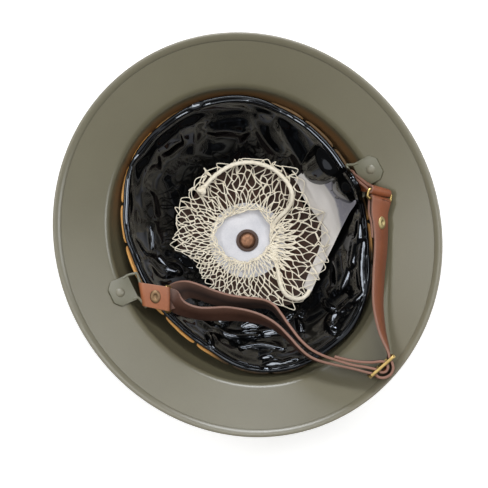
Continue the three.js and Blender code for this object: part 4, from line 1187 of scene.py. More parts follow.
        def put(v: float, half: float) -> Array:
            """Gives both faces of the leather at a distance across it and half a thickness.

            Args:
                v: Distance across the leather.
                half: Half its thickness there.

            Returns:
                The points of both faces.
            """
            a, b = start + start_along * v, end + end_along * v
            length = float(np.linalg.norm(b - a))
            way = unit(b - a)
            top = np.array([(-c * eye, s * eye) for c, s in arc]
                           + [(0.9 * eye, 0.82 * eye), (2.4 * eye, pinch), (length / 2, pinch),
                              (length - 2.4 * eye, pinch), (length - 0.9 * eye, 0.82 * eye)]
                           + [(length + c * eye, s * eye) for c, s in arc[::-1]])
            ring_line = np.vstack([top, top[-2:0:-1] * [1, -1]])
            smooth = spline(np.vstack([ring_line, ring_line[:1]]), 3)[:-1]
            step = unit(np.roll(smooth, -1, axis=0) - np.roll(smooth, 1, axis=0))
            out = np.stack([-step[:, 1], step[:, 0]], axis=1)
            both = np.stack([smooth + out * half, smooth - out * half], axis=1)
            t = np.clip(both[..., :1] / length, 0, 1)
            across = start_along * (1 - t) + end_along * t
            normal = unit(np.cross(way, across))
            normal = np.where((normal @ facing)[..., None] < 0, -normal, normal)
            return a + way * both[..., :1] + normal * both[..., 1:]

        h = self.tab_thick / 2
        stations = [(-w, 0.5 * h), (-w + 0.25, 0.85 * h), (-w + 0.7, h), (0.0, 1.05 * h), (w - 0.7, h),
                    (w - 0.25, 0.85 * h), (w, 0.5 * h)]
        layers = np.stack([put(v, half) for v, half in stations])
        outer, inner = layers[:, :, 0], layers[::-1, :, 1]
        around = np.concatenate([outer, inner]).transpose(1, 0, 2)
        worn = np.array([1, 0.6, 0.1, 0, 0.1, 0.6, 1] * 2, float)
        shop.piece(f"leather_tab_{side.word}", loft(around, True), surface, [f"strap_tab_{side.word}"],
                   sharp=50, wear=np.tile(worn, len(around)))
        return (start + end) / 2, facing, unit(start_along + end_along)

    def build_rivet(self, shop: Workshop, name: str, node: str, at: Array, normal: Array, along: Array,
                    stack: float, half: tuple[float, float], surface: Surface = Surface.PATINA) -> None:
        """Sets a tubular brass rivet with an oval head.

        Args:
            shop: Where the piece is made.
            name: The piece's name.
            node: The solid that it stands for.
            at: Middle of the leather that it holds.
            normal: Its axis.
            along: Direction of its longer side.
            stack: Half the leather's thickness there.
            half: Half sizes of its head.
            surface: Its finish.
        """
        top = stack + 0.1
        head = soften([(0.0, top + 0.25), (0.28, top + 0.5), (0.42, top + 1.0), (0.62, top + 1.15),
                       (0.88, top + 0.8), (1.0, top + 0.25), (0.97, top)], 4)
        rows = head + [(0.37, top), (0.37, -top), (0.97, -top), (0.9, -top - 0.7), (0.0, -top - 0.7)]
        across = unit(np.cross(normal, along))
        shape = lathe(rows, 32)
        shape = (shape[0] * [*half, 1.0], shape[1])
        shop.piece(name, placed(shape, at, along, across, normal), surface, [node], sharp=50)

    def slide_frame(self) -> tuple[Array, Array, Array]:
        """Gives the slide's middle, its direction and its outward direction."""
        h = math.radians(self.slide_heading)
        return turned(*self.slide_at), turned(math.cos(h), math.sin(h)), turned(math.sin(h), -math.cos(h))

    def build_slide(self, shop: Workshop) -> None:
        """Cuts the brass slide with its two slots.

        Args:
            shop: Where the pieces are made.
        """
        (long, high), edge, bar = self.slide_half, self.slide_edge, self.slide_bar
        thick, clip = self.slide_thick, self.slide_clip
        outline = [(-long + clip, -high), (long - clip, -high), (long, -high + clip), (long, high - clip),
                   (long - clip, high), (-long + clip, high), (-long, high - clip), (-long, -high + clip)]
        top = high - edge
        holes = [[(bar, -top), (long - edge, -top), (long - edge, top), (bar, top)],
                 [(-long + edge, -top), (-bar, -top), (-bar, top), (-long + edge, top)]]
        at, along, out = self.slide_frame()
        shape = placed(Workshop.plate(outline, thick, 0.4, holes), at - out * thick / 2, along,
                       np.array([0.0, 0.0, 1.0]), out)
        shop.piece("brass_slide", shape, Surface.BRASS, ["slide_buckle"], sharp=40)

    def stations(self, rings: dict[Side, WireRing]) -> tuple[Array, Array]:
        """Lists the strap's middle points and width directions from end to end.

        Args:
            rings: The brass rings.

        Returns:
            Points and directions, one row each.
        """
        at: list[Array] = []
        wide: list[Array] = []
        slide, slide_along, slide_out = self.slide_frame()

        def rows(table: Sequence[StrapRow]) -> None:
            """Adds the rows of a table."""
            for q in table:
                h, lean = math.radians(q.heading), math.radians(q.lean)
                at.append(turned(q.right, q.up, q.z))
                flat = math.cos(lean)
                wide.append(turned(math.cos(h) * flat, math.sin(h) * flat, math.sin(lean)))

        def fold(ring: WireRing, start: float, stop: float) -> None:
            """Adds the bend round a ring's bar.

            Args:
                ring: The ring.
                start: First angle in degrees.
                stop: Last angle in degrees.
            """
            bend = self.ring_wire + 0.25 + self.thick / 2
            to_tab = unit(ring.tab - ring.strap)
            side = unit(np.cross(to_tab, ring.along))
            side = -side if side[2] < 0 else side
            middle = ring.strap + ring.along * ring.strap_slip
            for a in np.radians(np.linspace(start, stop, 7)):
                at.append(middle + to_tab * bend * math.cos(a) + side * bend * math.sin(a))
                wide.append(ring.along)

        def turns(table: Sequence[tuple[float, float]]) -> None:
            """Adds a bend at the slide."""
            for along, out in table:
                at.append(slide + slide_along * along + slide_out * out)
                wide.append(np.array([0.0, 0.0, 1.0]))

        rows(self.right_tail)
        fold(rings[Side.RIGHT], -95, 95)
        rows(self.down)
        turns(self.outer_turn)
        rows(self.lower)
        fold(rings[Side.LEFT], 38, -152)
        rows(self.upper)
        turns(self.inner_turn)
        rows(self.end)
        return np.array(at), np.array(wide)

    def build_strap(self, shop: Workshop, rings: dict[Side, WireRing]) -> None:
        """Runs the strap through rings and slide as one strip of leather.

        Args:
            shop: Where the piece is made.
            rings: The brass rings.
        """
        at, wide = self.stations(rings)
        signs = np.ones(len(wide))
        for i in range(1, len(wide)):
            signs[i] = signs[i - 1] * (1 if wide[i] @ wide[i - 1] >= 0 else -1)
        line, width = spline(at, self.steps), unit(spline(wide * signs[:, None], self.steps))
        tangent = unit(np.gradient(line, axis=0))
        face = unit(np.cross(tangent, width))
        width = unit(np.cross(face, tangent))
        section = [(-1, -0.45), (-0.985, -0.8), (-0.94, -1.0), (0, -1.06), (0.94, -1.0), (0.985, -0.8),
                   (1, -0.45), (1, 0.45), (0.985, 0.8), (0.94, 1.0), (0, 1.06), (-0.94, 1.0), (-0.985, 0.8),
                   (-1, 0.45)]
        edge_wear = {1: 1.0, 0.985: 0.75, 0.94: 0.25}
        half_w, half_t = self.width / 2, self.thick / 2
        rows = np.stack([line + width * w * half_w + face * n * half_t for w, n in section], axis=1)
        worn = np.array([edge_wear.get(abs(w), 0.0) for w, _ in section])
        shape = loft(rows)
        number = np.arange(len(shape[1]))
        side, station = number % len(section), number // len(section) / self.steps
        inside = (side >= 7) & (side <= 12) & (number < len(number) - 2)
        # The lower run takes the darker leather as painted shade
        lower = (station >= self.shaded_run[0]) & (station < self.shaded_run[1]) & ~inside
        shop.piece("leather_strap", shape, Surface.LEATHER, ["chin_strap"], sharp=55,
                   wear=np.tile(worn, len(rows)), others=[(Surface.FLESH, inside), (Surface.DARK, lower)])


@dataclass
class ClothBowl:
    """The folded oilcloth with its hem, the band round it and the pads behind it."""

    around: int = 620
    rings: int = 122
    back_rings: int = 16
    cloth: float = 1.0
    gap: float = 0.3
    slope: float = 0.3
    band_top: float = 81.5
    band_drop: float = 18.0
    band_thick: float = 1.3
    pad_top: float = 80.5
    pad_drop: float = 12.0
    pad_thick: float = 2.6
    pad_count: int = 20
    pad_spacing: float = 2.6
    pad_steps: int = 25
    hem_lift: float = 1.6
    wrinkles: int = 4
    facets: tuple[int, int] = (17, 4)
    facet_rise: float = 2.1
    facet_round: float = 85.0
    facet_run: float = 110.0
    mean_reach: float = 95.0
    streak_climb: float = 0.06
    streak_bow: float = 0.019
    streak_press: tuple[float, float] = (-1.5, 6.0)
    streak_blend: float = 2.4
    seed: int = 11
    flat_side: float = 0.29
    flat_area: float = 0.066
    hemline: ClosedLine = field(default_factory=lambda: ClosedLine(HEMLINE))
    hem: tuple[HemRow, ...] = tuple(starmap(HemRow, (
        (7, 91, 4.5, -0.4), (26, 94.2, 4.5, -0.8), (42, 98.4, 4.5, -0.6), (50, 101, 4.5, 0),
        (58, 104.6, 5, 0.8), (67, 107.2, 5.5, -0.6), (79, 108.3, 5.4, -1.1), (92, 108, 5, -1.1),
        (101, 107.2, 4.8, -0.6), (108, 107, 4.8, 0.5), (115, 106.2, 5, 0.9), (121, 105, 3, 0.2),
        (124, 104, 3, 0.2), (130, 101.7, 4.2, 0.7), (138, 97.9, 4.4, 0.8), (145, 95.8, 4.4, 0.8),
        (153, 93.2, 4.6, 0.8), (164, 89.2, 4.8, 0.8), (174, 87.3, 4.8, 0.8), (186, 86.2, 4.6, 0.6),
        (199, 86.8, 4.4, 0.4), (209, 87.8, 4.4, 0.4), (226, 92.2, 4.8, 0.4), (240, 100.2, 4.8, 0.3),
        (252, 104.6, 4.6, 0.4), (264, 106.8, 4.6, 0.3), (277, 107, 5, 0.1), (291, 106.4, 5, 0.1),
        (302, 103.4, 4.8, 0.2), (317, 97.2, 4.6, 0.2), (328, 92.8, 4.4, 0.3), (339, 91.2, 4.4, 0.3),
        (350, 91.6, 4.4, 0.2),
    )))
    folds: tuple[Fold, ...] = tuple(starmap(Fold, (
        (87, 4.5, 82.5, -17.5, 72.5, -40, 4, 6, 4.5), (89.5, -4, 87.5, -25, 88.5, -41.5, 2.5, 3, 4),
        (89, -42, 75.5, -55.5, 64, -65, 4, 3, 4.5), (63, -46.5, 73.5, -34.5, 71.5, -12, 5, 3, 3.5),
        (40.5, -61.5, 41.5, -69.5, 42.5, -79, 3, 5, 1.6), (69, -65.5, 68, -71.5, 65.5, -77, 5, 3, 2.5),
        (-2, -68.5, 2.5, -66.5, 8, -65.5, 2, 3, 2.4), (9.5, -75, 16, -72.5, 22, -72, 3, 3, 2),
        (-5.5, -87, 12, -83, 28, -87, 3, 3.5, 2.6), (-4, -84, 12, -81, 28.5, -78, 2, 2, 1.2),
        (8.5, -92.5, 14.5, -92, 21, -91, 2, 2, 1.6), (-30, -71, -9.5, -76, 11.5, -74, 2, 5, 3.2),
        (-42.5, -62.5, -30, -72.5, -28, -83, 4.5, 2.5, 2.6),
        (-26, -64, -19.5, -63, -12.5, -63.5, 2, 3, 2), (-79, -14, -68, -23, -52, -26.5, 5, 2, 4),
        (-65.5, -11, -53, -13, -40, -22.5, 3.5, 2.5, 3), (-74.5, 14, -73.5, 4, -68.5, -6.5, 3.5, 3, 2),
        (-87, -3, -80, -14, -71.5, -31, 2.5, 2.5, 1.6), (-77, 36.5, -74.5, 26, -75, 14.5, 4, 3, 2),
        (-61.5, 49, -59.5, 44.5, -55.5, 40, 3, 3, 1.6), (-88, 53.5, -76.5, 56.5, -67, 59, 5, 4, 1.6),
        (-72, 72, -63.5, 77.5, -60.5, 84.5, 3, 3, 1.6), (-59, 84.5, -52, 86.5, -44.5, 92, 3, 3, 1.6),
        (-41.5, 96, -41.5, 79, -43.5, 60, 8, 7, 3), (-32.5, 84.5, -15, 86, 2.5, 83.5, 4, 6, 4),
        (-67.5, 64.5, -56, 74.5, -50.5, 77, 4, 4, 2), (-2, 102, 10, 97, 21, 93, 2.5, 2.5, 3),
        (2.5, 96.5, 12, 82, 30, 65, 5, 5, 3), (22.5, 92.5, 37, 73.5, 49, 52.5, 3, 6, 4),
    )))
    puffs: tuple[Puff, ...] = (
        Puff(60, 57, 15, 15.5, -40, 7, 0), Puff(79.5, 38.5, 15, 13, -62, 6, 20),
    )
    streaks: tuple[Streak, ...] = tuple(starmap(Streak, (
        (86.7, 12.5, 85.9, 3.5, 84.6, -5.0, 1.0, 175, 18.8),
        (84.3, -7.0, 82.4, -14.0, 79.8, -22.0, 1.4, 175, 18.8),
        (79.0, -24.0, 76.4, -31.0, 72.2, -40.7, 1.2, 175, 18.8),
        (87.9, -4.8, 86.2, -24.4, 87.8, -43.2, 1.2, 174, 19.1),
        (87.8, -43.2, 84.2, -47.0, 80.2, -50.7, 0.7, 170, 19.0),
        (79.2, -51.6, 75.2, -55.0, 70.9, -58.2, 0.7, 170, 19.0),
        (74.4, -57.1, 65.0, -62.4, 62.2, -73.1, 1.4, 168, 18.4),
        (63.9, -69.3, 65.4, -72.4, 68.4, -73.8, 2.0, 100, 17.3),
        (60.3, -49.4, 63.0, -53.8, 68.5, -56.0, 0.6, 100, 16.3),
        (31.2, -63.8, 32.7, -62.7, 34.3, -60.7, 1.6, 95, 16.3),
        (41.3, -61.5, 42.5, -59.9, 43.7, -58.0, 1.2, 96, 16.3),
        (40.0, -63.9, 41.4, -70.1, 41.4, -77.0, 0.6, 167, 17.4),
        (-2.7, -68.6, 2.1, -67.4, 6.8, -68.2, 1.2, 91, 16.4),
        (9.4, -75.6, 15.3, -74.0, 22.2, -72.5, 0.9, 92, 16.7),
        (-4.2, -85.5, 11.3, -83.3, 27.3, -87.0, 0.6, 92, 17.2),
        (10.6, -92.9, 14.1, -92.2, 18.4, -92.2, 0.8, 92, 17.7),
        (12.1, -98.9, 17.8, -97.1, 25.1, -96.7, 1.1, 93, 18.0),
        (27.6, -96.3, 32.1, -95.3, 37.4, -94.0, 0.6, 95, 18.0),
        (-24.5, -65.3, -19.9, -64.1, -14.4, -63.8, 0.8, 87, 16.4),
        (-27.4, -71.6, -12.0, -76.3, 9.8, -75.6, 0.6, 89, 16.9),
        (-29.5, -75.4, -28.1, -80.7, -27.8, -85.9, 0.5, 42, 17.6),
        (-68.4, -15.9, -62.6, -23.3, -53.6, -26.5, 1.2, 33, 17.0),
        (-75.1, 6.9, -74.2, -0.2, -73.4, -7.6, 0.6, 29, 17.0),
        (-42.6, 97.1, -39.2, 98.3, -35.8, 99.4, 0.8, 81, 10.7),
    )))

    def reach(self, degrees: Array) -> Array:
        """Gives the cloth's inner radius at the hem."""
        return self.hemline(degrees) - HEM_ROLL

    def height(self, x: Array, y: Array) -> Array:
        """Gives the unfolded cloth's height over a place.

        Args:
            x: Millimetres across.
            y: Millimetres forward.

        Returns:
            Heights in millimetres.
        """
        share = np.hypot(x, y) / self.reach(np.degrees(np.arctan2(y, x)))
        shares = [0.0] + [s.share for s in BOWL][::-1] + [1.0]
        heights = [BOWL_FLOOR] + [s.z for s in BOWL][::-1] + [HEM_HEIGHT]
        return np.interp(share, shares, heights)

    def over(self, x: Array, y: Array, distance: Array | float) -> Array:
        """Gives the height of a layer a distance square over the cloth.

        Args:
            x: Millimetres across.
            y: Millimetres forward.
            distance: Distance square to the cloth.

        Returns:
            Heights in millimetres.
        """
        step = 1.5
        dx = (self.height(x + step, y) - self.height(x - step, y)) / (2 * step)
        dy = (self.height(x, y + step) - self.height(x, y - step)) / (2 * step)
        return self.height(x, y) + distance * np.minimum(np.sqrt(1 + dx * dx + dy * dy), 3.2)

    def layer(self, x: Array, y: Array, distance: Array | float) -> Array:
        """Gives the points of a layer a distance square over the cloth."""
        return np.stack([x, y, self.over(x, y, distance)], axis=-1)

    def build(self, shop: Workshop) -> bpy.types.Object:
        """Builds and dresses the cloth, band and pads.

        Args:
            shop: Where the pieces are made.

        Returns:
            The cloth.
        """
        cloth = self.build_cloth(shop)
        self.build_band(shop)
        self.build_pads(shop)
        return cloth

    def build_cloth(self, shop: Workshop) -> bpy.types.Object:
        """Folds the oilcloth into the bowl and doubles its hem.

        Args:
            shop: Where the piece is made.

        Returns:
            The cloth.
        """
        shares = np.array([1.0] + [s.share for s in BOWL] + [0.12, 0.03])
        heights = np.array([HEM_HEIGHT - 0.9] + [s.z for s in BOWL] + [5.2, BOWL_FLOOR])
        line = even(spline(np.stack([shares * self.mean_reach, heights], axis=1), 10), self.rings)
        share = line[:, 0] / self.mean_reach
        degrees = 360 * np.arange(self.around) / self.around
        a = np.radians(degrees)[:, None]
        tracks = (ClosedLine([Ring(q.angle, q[k]) for q in self.hem]) for k in (1, 2, 3))
        edge, strip, lip = (track(degrees)[:, None] for track in tracks)
        reach = self.reach(degrees)[:, None]
        z = np.broadcast_to(line[:, 1], (self.around, self.rings))
        flat = polar(reach * share + (edge - strip - reach) * ease(z, 66, 82), a, z)
        inner = flat + self.normals(flat) * self.fold_lift(flat, share)[..., None]
        hem = self.hem_strip(a, edge, strip, lip)
        for puff in self.puffs:
            inner[..., 2] += puff.lift * self.puff_share(flat, puff)
            hem[..., 2] += puff.lift * self.puff_share(hem, puff)
        front = np.concatenate([hem, inner[:, 1:]], axis=1)
        for streak in self.streaks:
            self.flatten(front[:, 6:], streak)
        inner = front[:, hem.shape[1]:]
        back = np.linspace(inner.shape[1] - 1, 1, self.back_rings).astype(int)
        outer = (inner - self.normals(inner) * self.cloth)[:, back]
        section = np.concatenate([front, outer], axis=1)
        cloth = shop.piece("folded_oilcloth", loft(section, True), Surface.OILCLOTH, ["oilcloth_liner"],
                           sharp=70)
        return cloth

    def flatten(self, grid: Array, streak: Streak) -> None:
        """Presses the cloth along a line into a nearly flat facet.

        Args:
            grid: Points of the cloth, changed in place.
            streak: The facet.
        """
        place, line = unturned(grid), bent(streak)
        near = near_line(place, line, 6)
        spots, z = place[near], grid[..., 2][near]
        square = ((spots[:, None, :] - line[None]) ** 2).sum(axis=2)
        t = np.argmin(square, axis=1) / (len(line) - 1)
        away = np.sqrt(square.min(axis=1))
        half = streak.half * (0.4 + 0.6 * np.sin(np.pi * t))
        facing = math.radians(streak.facing)
        slope = -math.tan(math.radians(streak.lean))
        flat = spots @ (slope * np.array([math.cos(facing), math.sin(facing)]))
        flat = flat - self.streak_bow / np.maximum(half, 0.3) * away**2
        inside = away < streak.half + 0.7
        limit = self.streak_climb * float(np.linalg.norm(line[-1] - line[0]))
        rise = float(np.clip(np.polyfit(t[inside], (z - flat)[inside], 1)[0], -limit, limit))
        wanted = flat + rise * t + np.quantile((z - flat - rise * t)[inside], 0.65)
        core = np.minimum(2 * half, 1.6)
        share = 1 - ease(away, core, core + self.streak_blend)
        grid[..., 2][near] = z + np.clip(wanted - z, *self.streak_press) * share

    def hem_strip(self, a: Array, edge: Array, strip: Array, lip: Array) -> Array:
        """Gives the hem's doubled strip from its underside over its outer edge to its inner edge.

        Args:
            a: Angle of each section, in radians.
            edge: Outer radius at each angle.
            strip: Width at each angle.
            lip: Rise of the inner edge at each angle.

        Returns:
            The points of each section.
        """
        nothing = np.zeros_like(strip)
        fold = (1.8, 0.6, 0.1, 0.0, 0.06, 0.25, 1.45, 1.7)
        fold_rise = (-1.9, -1.9, -1.7, -1.3, -0.9, -0.55, -0.36, -0.12, -0.15)
        inward = np.concatenate([strip - 1.0] + [nothing + d for d in fold] + [0.5 * strip]
                                + [strip - d for d in (2.1, 1.3, 1.2, 1.1, 0.2, 0.0)], axis=1)
        rise = np.concatenate([nothing + d for d in fold_rise] + [nothing - 0.5]
                              + [lip - d for d in (0.38, 0.22, 0.2, 0.24, 0.55, 1.2)], axis=1)
        wave = 0.35 * np.sin(5 * a + 0.6) + 0.25 * np.sin(11 * a + 2.0) + 0.15 * np.sin(23 * a)
        return polar(edge - inward, a, HEM_HEIGHT + self.hem_lift + wave + rise)

    @staticmethod
    def normals(grid: Array) -> Array:
        """Gives the directions square to a grid of points, towards the hollow."""
        round_way = np.roll(grid, -1, axis=0) - np.roll(grid, 1, axis=0)
        down_way = np.gradient(grid, axis=1)
        found = unit(np.cross(round_way, down_way))
        flip = np.where(found[..., 2:] < 0, -1.0, 1.0)
        return found * flip

    def fold_lift(self, grid: Array, share: Array) -> Array:
        """Gives how far each point of the cloth is folded towards the hollow.

        Args:
            grid: Points of the unfolded cloth.
            share: Share of the hemline radius in each ring.

        Returns:
            Distances square to the cloth.
        """
        place = unturned(grid)
        angle = np.arctan2(grid[..., 1], grid[..., 0])
        lift = 0.7 * np.sin(9 * angle + 2.2 * np.sin(2 * angle) + 5 * share) * ease(share, 0.55, 0.8)
        for q in (*self.folds, *self.small_folds()):
            lift = lift + self.fold_height(place, q)
        lift = lift + sum(p.rise * self.puff_share(grid, p) for p in self.puffs)
        lift = smoothed(lift + self.crumple(share) * ease(share, 0.45, 0.75), 4)
        return lift * ease(grid[..., 2], 8, 18) * (1 - ease(share, 0.955, 0.995))

    def crumple(self, share: Array) -> Array:
        """Gives the height of flat facets that meet in creases.

        Args:
            share: Share of the hemline radius in each ring.

        Returns:
            Heights at each point of the cloth's grid.
        """
        rng = np.random.default_rng(self.seed)
        count, rows = self.facets
        wide, deep = 2 * np.pi * self.facet_round / count, self.facet_run / rows
        spots, heights = [], []
        for i in range(count):
            for j in range(rows + 1):
                off = rng.uniform(-0.38, 0.38, 2)
                rise = rng.uniform(-1, 1) * self.facet_rise
                for turn in (-count, 0, count):
                    spots.append(((i + turn + off[0] + 0.5 * (j % 2)) * wide, (j + off[1]) * deep))
                    heights.append(rise)
        found = delaunay_2d_cdt([Vector(s) for s in spots], [], [], 0, 1e-6)
        corners, faces, origin = np.array([v[:] for v in found[0]]), found[2], found[3]
        rises = np.array([heights[o[0]] for o in origin])
        x = np.arange(self.around) / self.around * count * wide
        y = self.facet_run * np.arange(len(share)) / (len(share) - 1)
        grid_x, grid_y = np.meshgrid(x, y, indexing="ij")
        height = np.zeros(grid_x.shape)
        for face in faces:
            (ax, ay), (bx, by), (cx, cy) = corners[list(face)]
            area = (bx - ax) * (cy - ay) - (cx - ax) * (by - ay)
            u = ((grid_x - ax) * (cy - ay) - (cx - ax) * (grid_y - ay)) / area
            v = ((bx - ax) * (grid_y - ay) - (grid_x - ax) * (by - ay)) / area
            inside = (u >= 0) & (v >= 0) & (u + v <= 1)
            a, b, c = rises[list(face)]
            height[inside] = (a + (b - a) * u + (c - a) * v)[inside]
        for _ in range(5):
            height = smoothed(height, 2)
        return height

    @staticmethod
    def puff_share(grid: Array, puff: Puff) -> Array:
        """Gives a puff's swelling from 0 to 1 at each point."""
        turn = TURN + math.radians(puff.turn)
        out = grid[..., :2] - turned(puff.right, puff.up)[:2]
        x = out[..., 0] * math.cos(turn) + out[..., 1] * math.sin(turn)
        y = -out[..., 0] * math.sin(turn) + out[..., 1] * math.cos(turn)
        return np.clip(1 - (x / puff.half_right) ** 2 - (y / puff.half_up) ** 2, 0, 1) ** 0.75

    def small_folds(self) -> list[Fold]:
        """Scatters short low wrinkles over the bowl's wall.

        Returns:
            The wrinkles.
        """
        rng = np.random.default_rng(self.seed)
        made = []
        for _ in range(self.wrinkles):
            angle, share = rng.uniform(0, 2 * np.pi), rng.uniform(0.62, 0.95)
            middle = self.mean_reach * share * np.array([math.cos(angle), math.sin(angle)])
            heading = angle + rng.normal(0, 0.7)
            half = 0.5 * rng.uniform(8, 24) * np.array([math.cos(heading), math.sin(heading)])
            bend = rng.normal(0, 1.5, 2)
            a, b, d = middle - half, middle + bend, middle + half
            width = rng.uniform(2.2, 4.4)
            made.append(Fold(*a, *b, *d, width, rng.uniform(2.2, 4.4), rng.uniform(-0.5, 0.8)))
        return made

    @staticmethod
    def fold_height(place: Array, fold: Fold) -> Array:
        """Gives the height of one fold over each place of the cloth.

        Args:
            place: Right and up of each point in the turned frame.
            fold: The fold.

        Returns:
            Its height at each point.
        """
        line = bent(fold)
        tangent = unit(np.gradient(line, axis=0))
        near = near_line(place, line, 4 * max(fold.left, fold.right))
        spots = place[near]
        gap = spots[:, None, :] - line[None]
        nearest = np.argmin((gap**2).sum(axis=2), axis=1)
        gap = gap[np.arange(len(spots)), nearest]
        way = tangent[nearest]
        off = gap[:, 1] * way[:, 0] - gap[:, 0] * way[:, 1]
        beyond = gap[:, 0] * way[:, 0] + gap[:, 1] * way[:, 1]
        width = np.where(off > 0, fold.left, fold.right)
        across = np.sqrt((off / (1.2 * width)) ** 2 + (beyond / 4) ** 2 + 0.003)
        t = nearest / (len(line) - 1)
        ends = 0.12 + 0.88 * ease(t, -0.05, 0.2) * (1 - ease(t, 0.8, 1.05))
        height = np.zeros(place.shape[:-1])
        height[near] = fold.rise * np.exp(-np.power(across, 1.4)) * ends
        return height

    def build_band(self, shop: Workshop) -> None:
        """Wraps the leather band round the cloth.

        Args:
            shop: Where the pieces are made.
        """
        degrees = 360 * np.arange(self.around) / self.around
        top, low, thick = self.band_top, self.band_top - self.band_drop, self.band_thick
        rows = [(0.0, top - 0.3), (0.3, top), (thick - 0.3, top), (thick, top - 0.3), (thick, low),
                (0.0, low)]
        out, z = np.array(rows).T
        section = self.by_hem(degrees, self.gap + out, z)
        shop.piece("leather_band", loft(section, True), Surface.BAND, ["liner_band"], sharp=50)

    def by_hem(self, degrees: Array, out: Array, z: Array) -> Array:
        """Gives points along the hemline, on a wall that slopes in below it.

        Args:
            degrees: Angles along the hemline.
            out: Distance of each point outside the hemline.
            z: Height of each point.

        Returns:
            The points, one row for each angle.
        """
        r = self.hemline(degrees)[:, None] + out - self.slope * (HEM_HEIGHT - z)
        return polar(r, np.radians(degrees)[:, None], z)

    def build_pads(self, shop: Workshop) -> None:
        """Sets the row of rubber pads behind the band.

        Args:
            shop: Where the pieces are made.
        """
        fine = np.arange(0, 360.25, 0.25)
        run = run_along(polar(self.hemline(fine), np.radians(fine), 0.0))
        pitch = run[-1] / self.pad_count
        top, low, thick = self.pad_top, self.pad_top - self.pad_drop, self.pad_thick
        rows = [(0.0, top - 0.6), (0.4, top), (thick * 0.5, top + 0.15), (thick - 0.5, top - 0.2),
                (thick, top - 1.0), (thick, low + 0.8), (thick - 0.6, low), (0.0, low)]
        deep, height = np.array(rows).T
        swell = np.sqrt(np.clip(1 - np.abs(np.linspace(-1, 1, self.pad_steps)) ** 6, 0.05, 1))[:, None]
        out = 2 * self.gap + self.band_thick + 0.1 + deep * (0.55 + 0.45 * swell)
        middle = (top + low) / 2
        z = middle + (height - middle) * (0.9 + 0.1 * swell)
        light = ClosedLine(PAD_LIGHT)
        for i in range(self.pad_count):
            start, stop = i * pitch + self.pad_spacing / 2, (i + 1) * pitch - self.pad_spacing / 2
            degrees = np.interp(np.linspace(start, stop, self.pad_steps), run, fine)
            # Painted shade: the less light a pad gets, the more of its dark worn colour it takes
            painted_shade = 1 - 0.01 * light(degrees - math.degrees(TURN))
            shop.piece(f"rubber_pad_{i + 1:02d}", loft(self.by_hem(degrees, out, z)), Surface.PAD,
                       [f"band_pad_{i + 1:02d}"], sharp=50, wear=np.repeat(painted_shade, len(rows)))


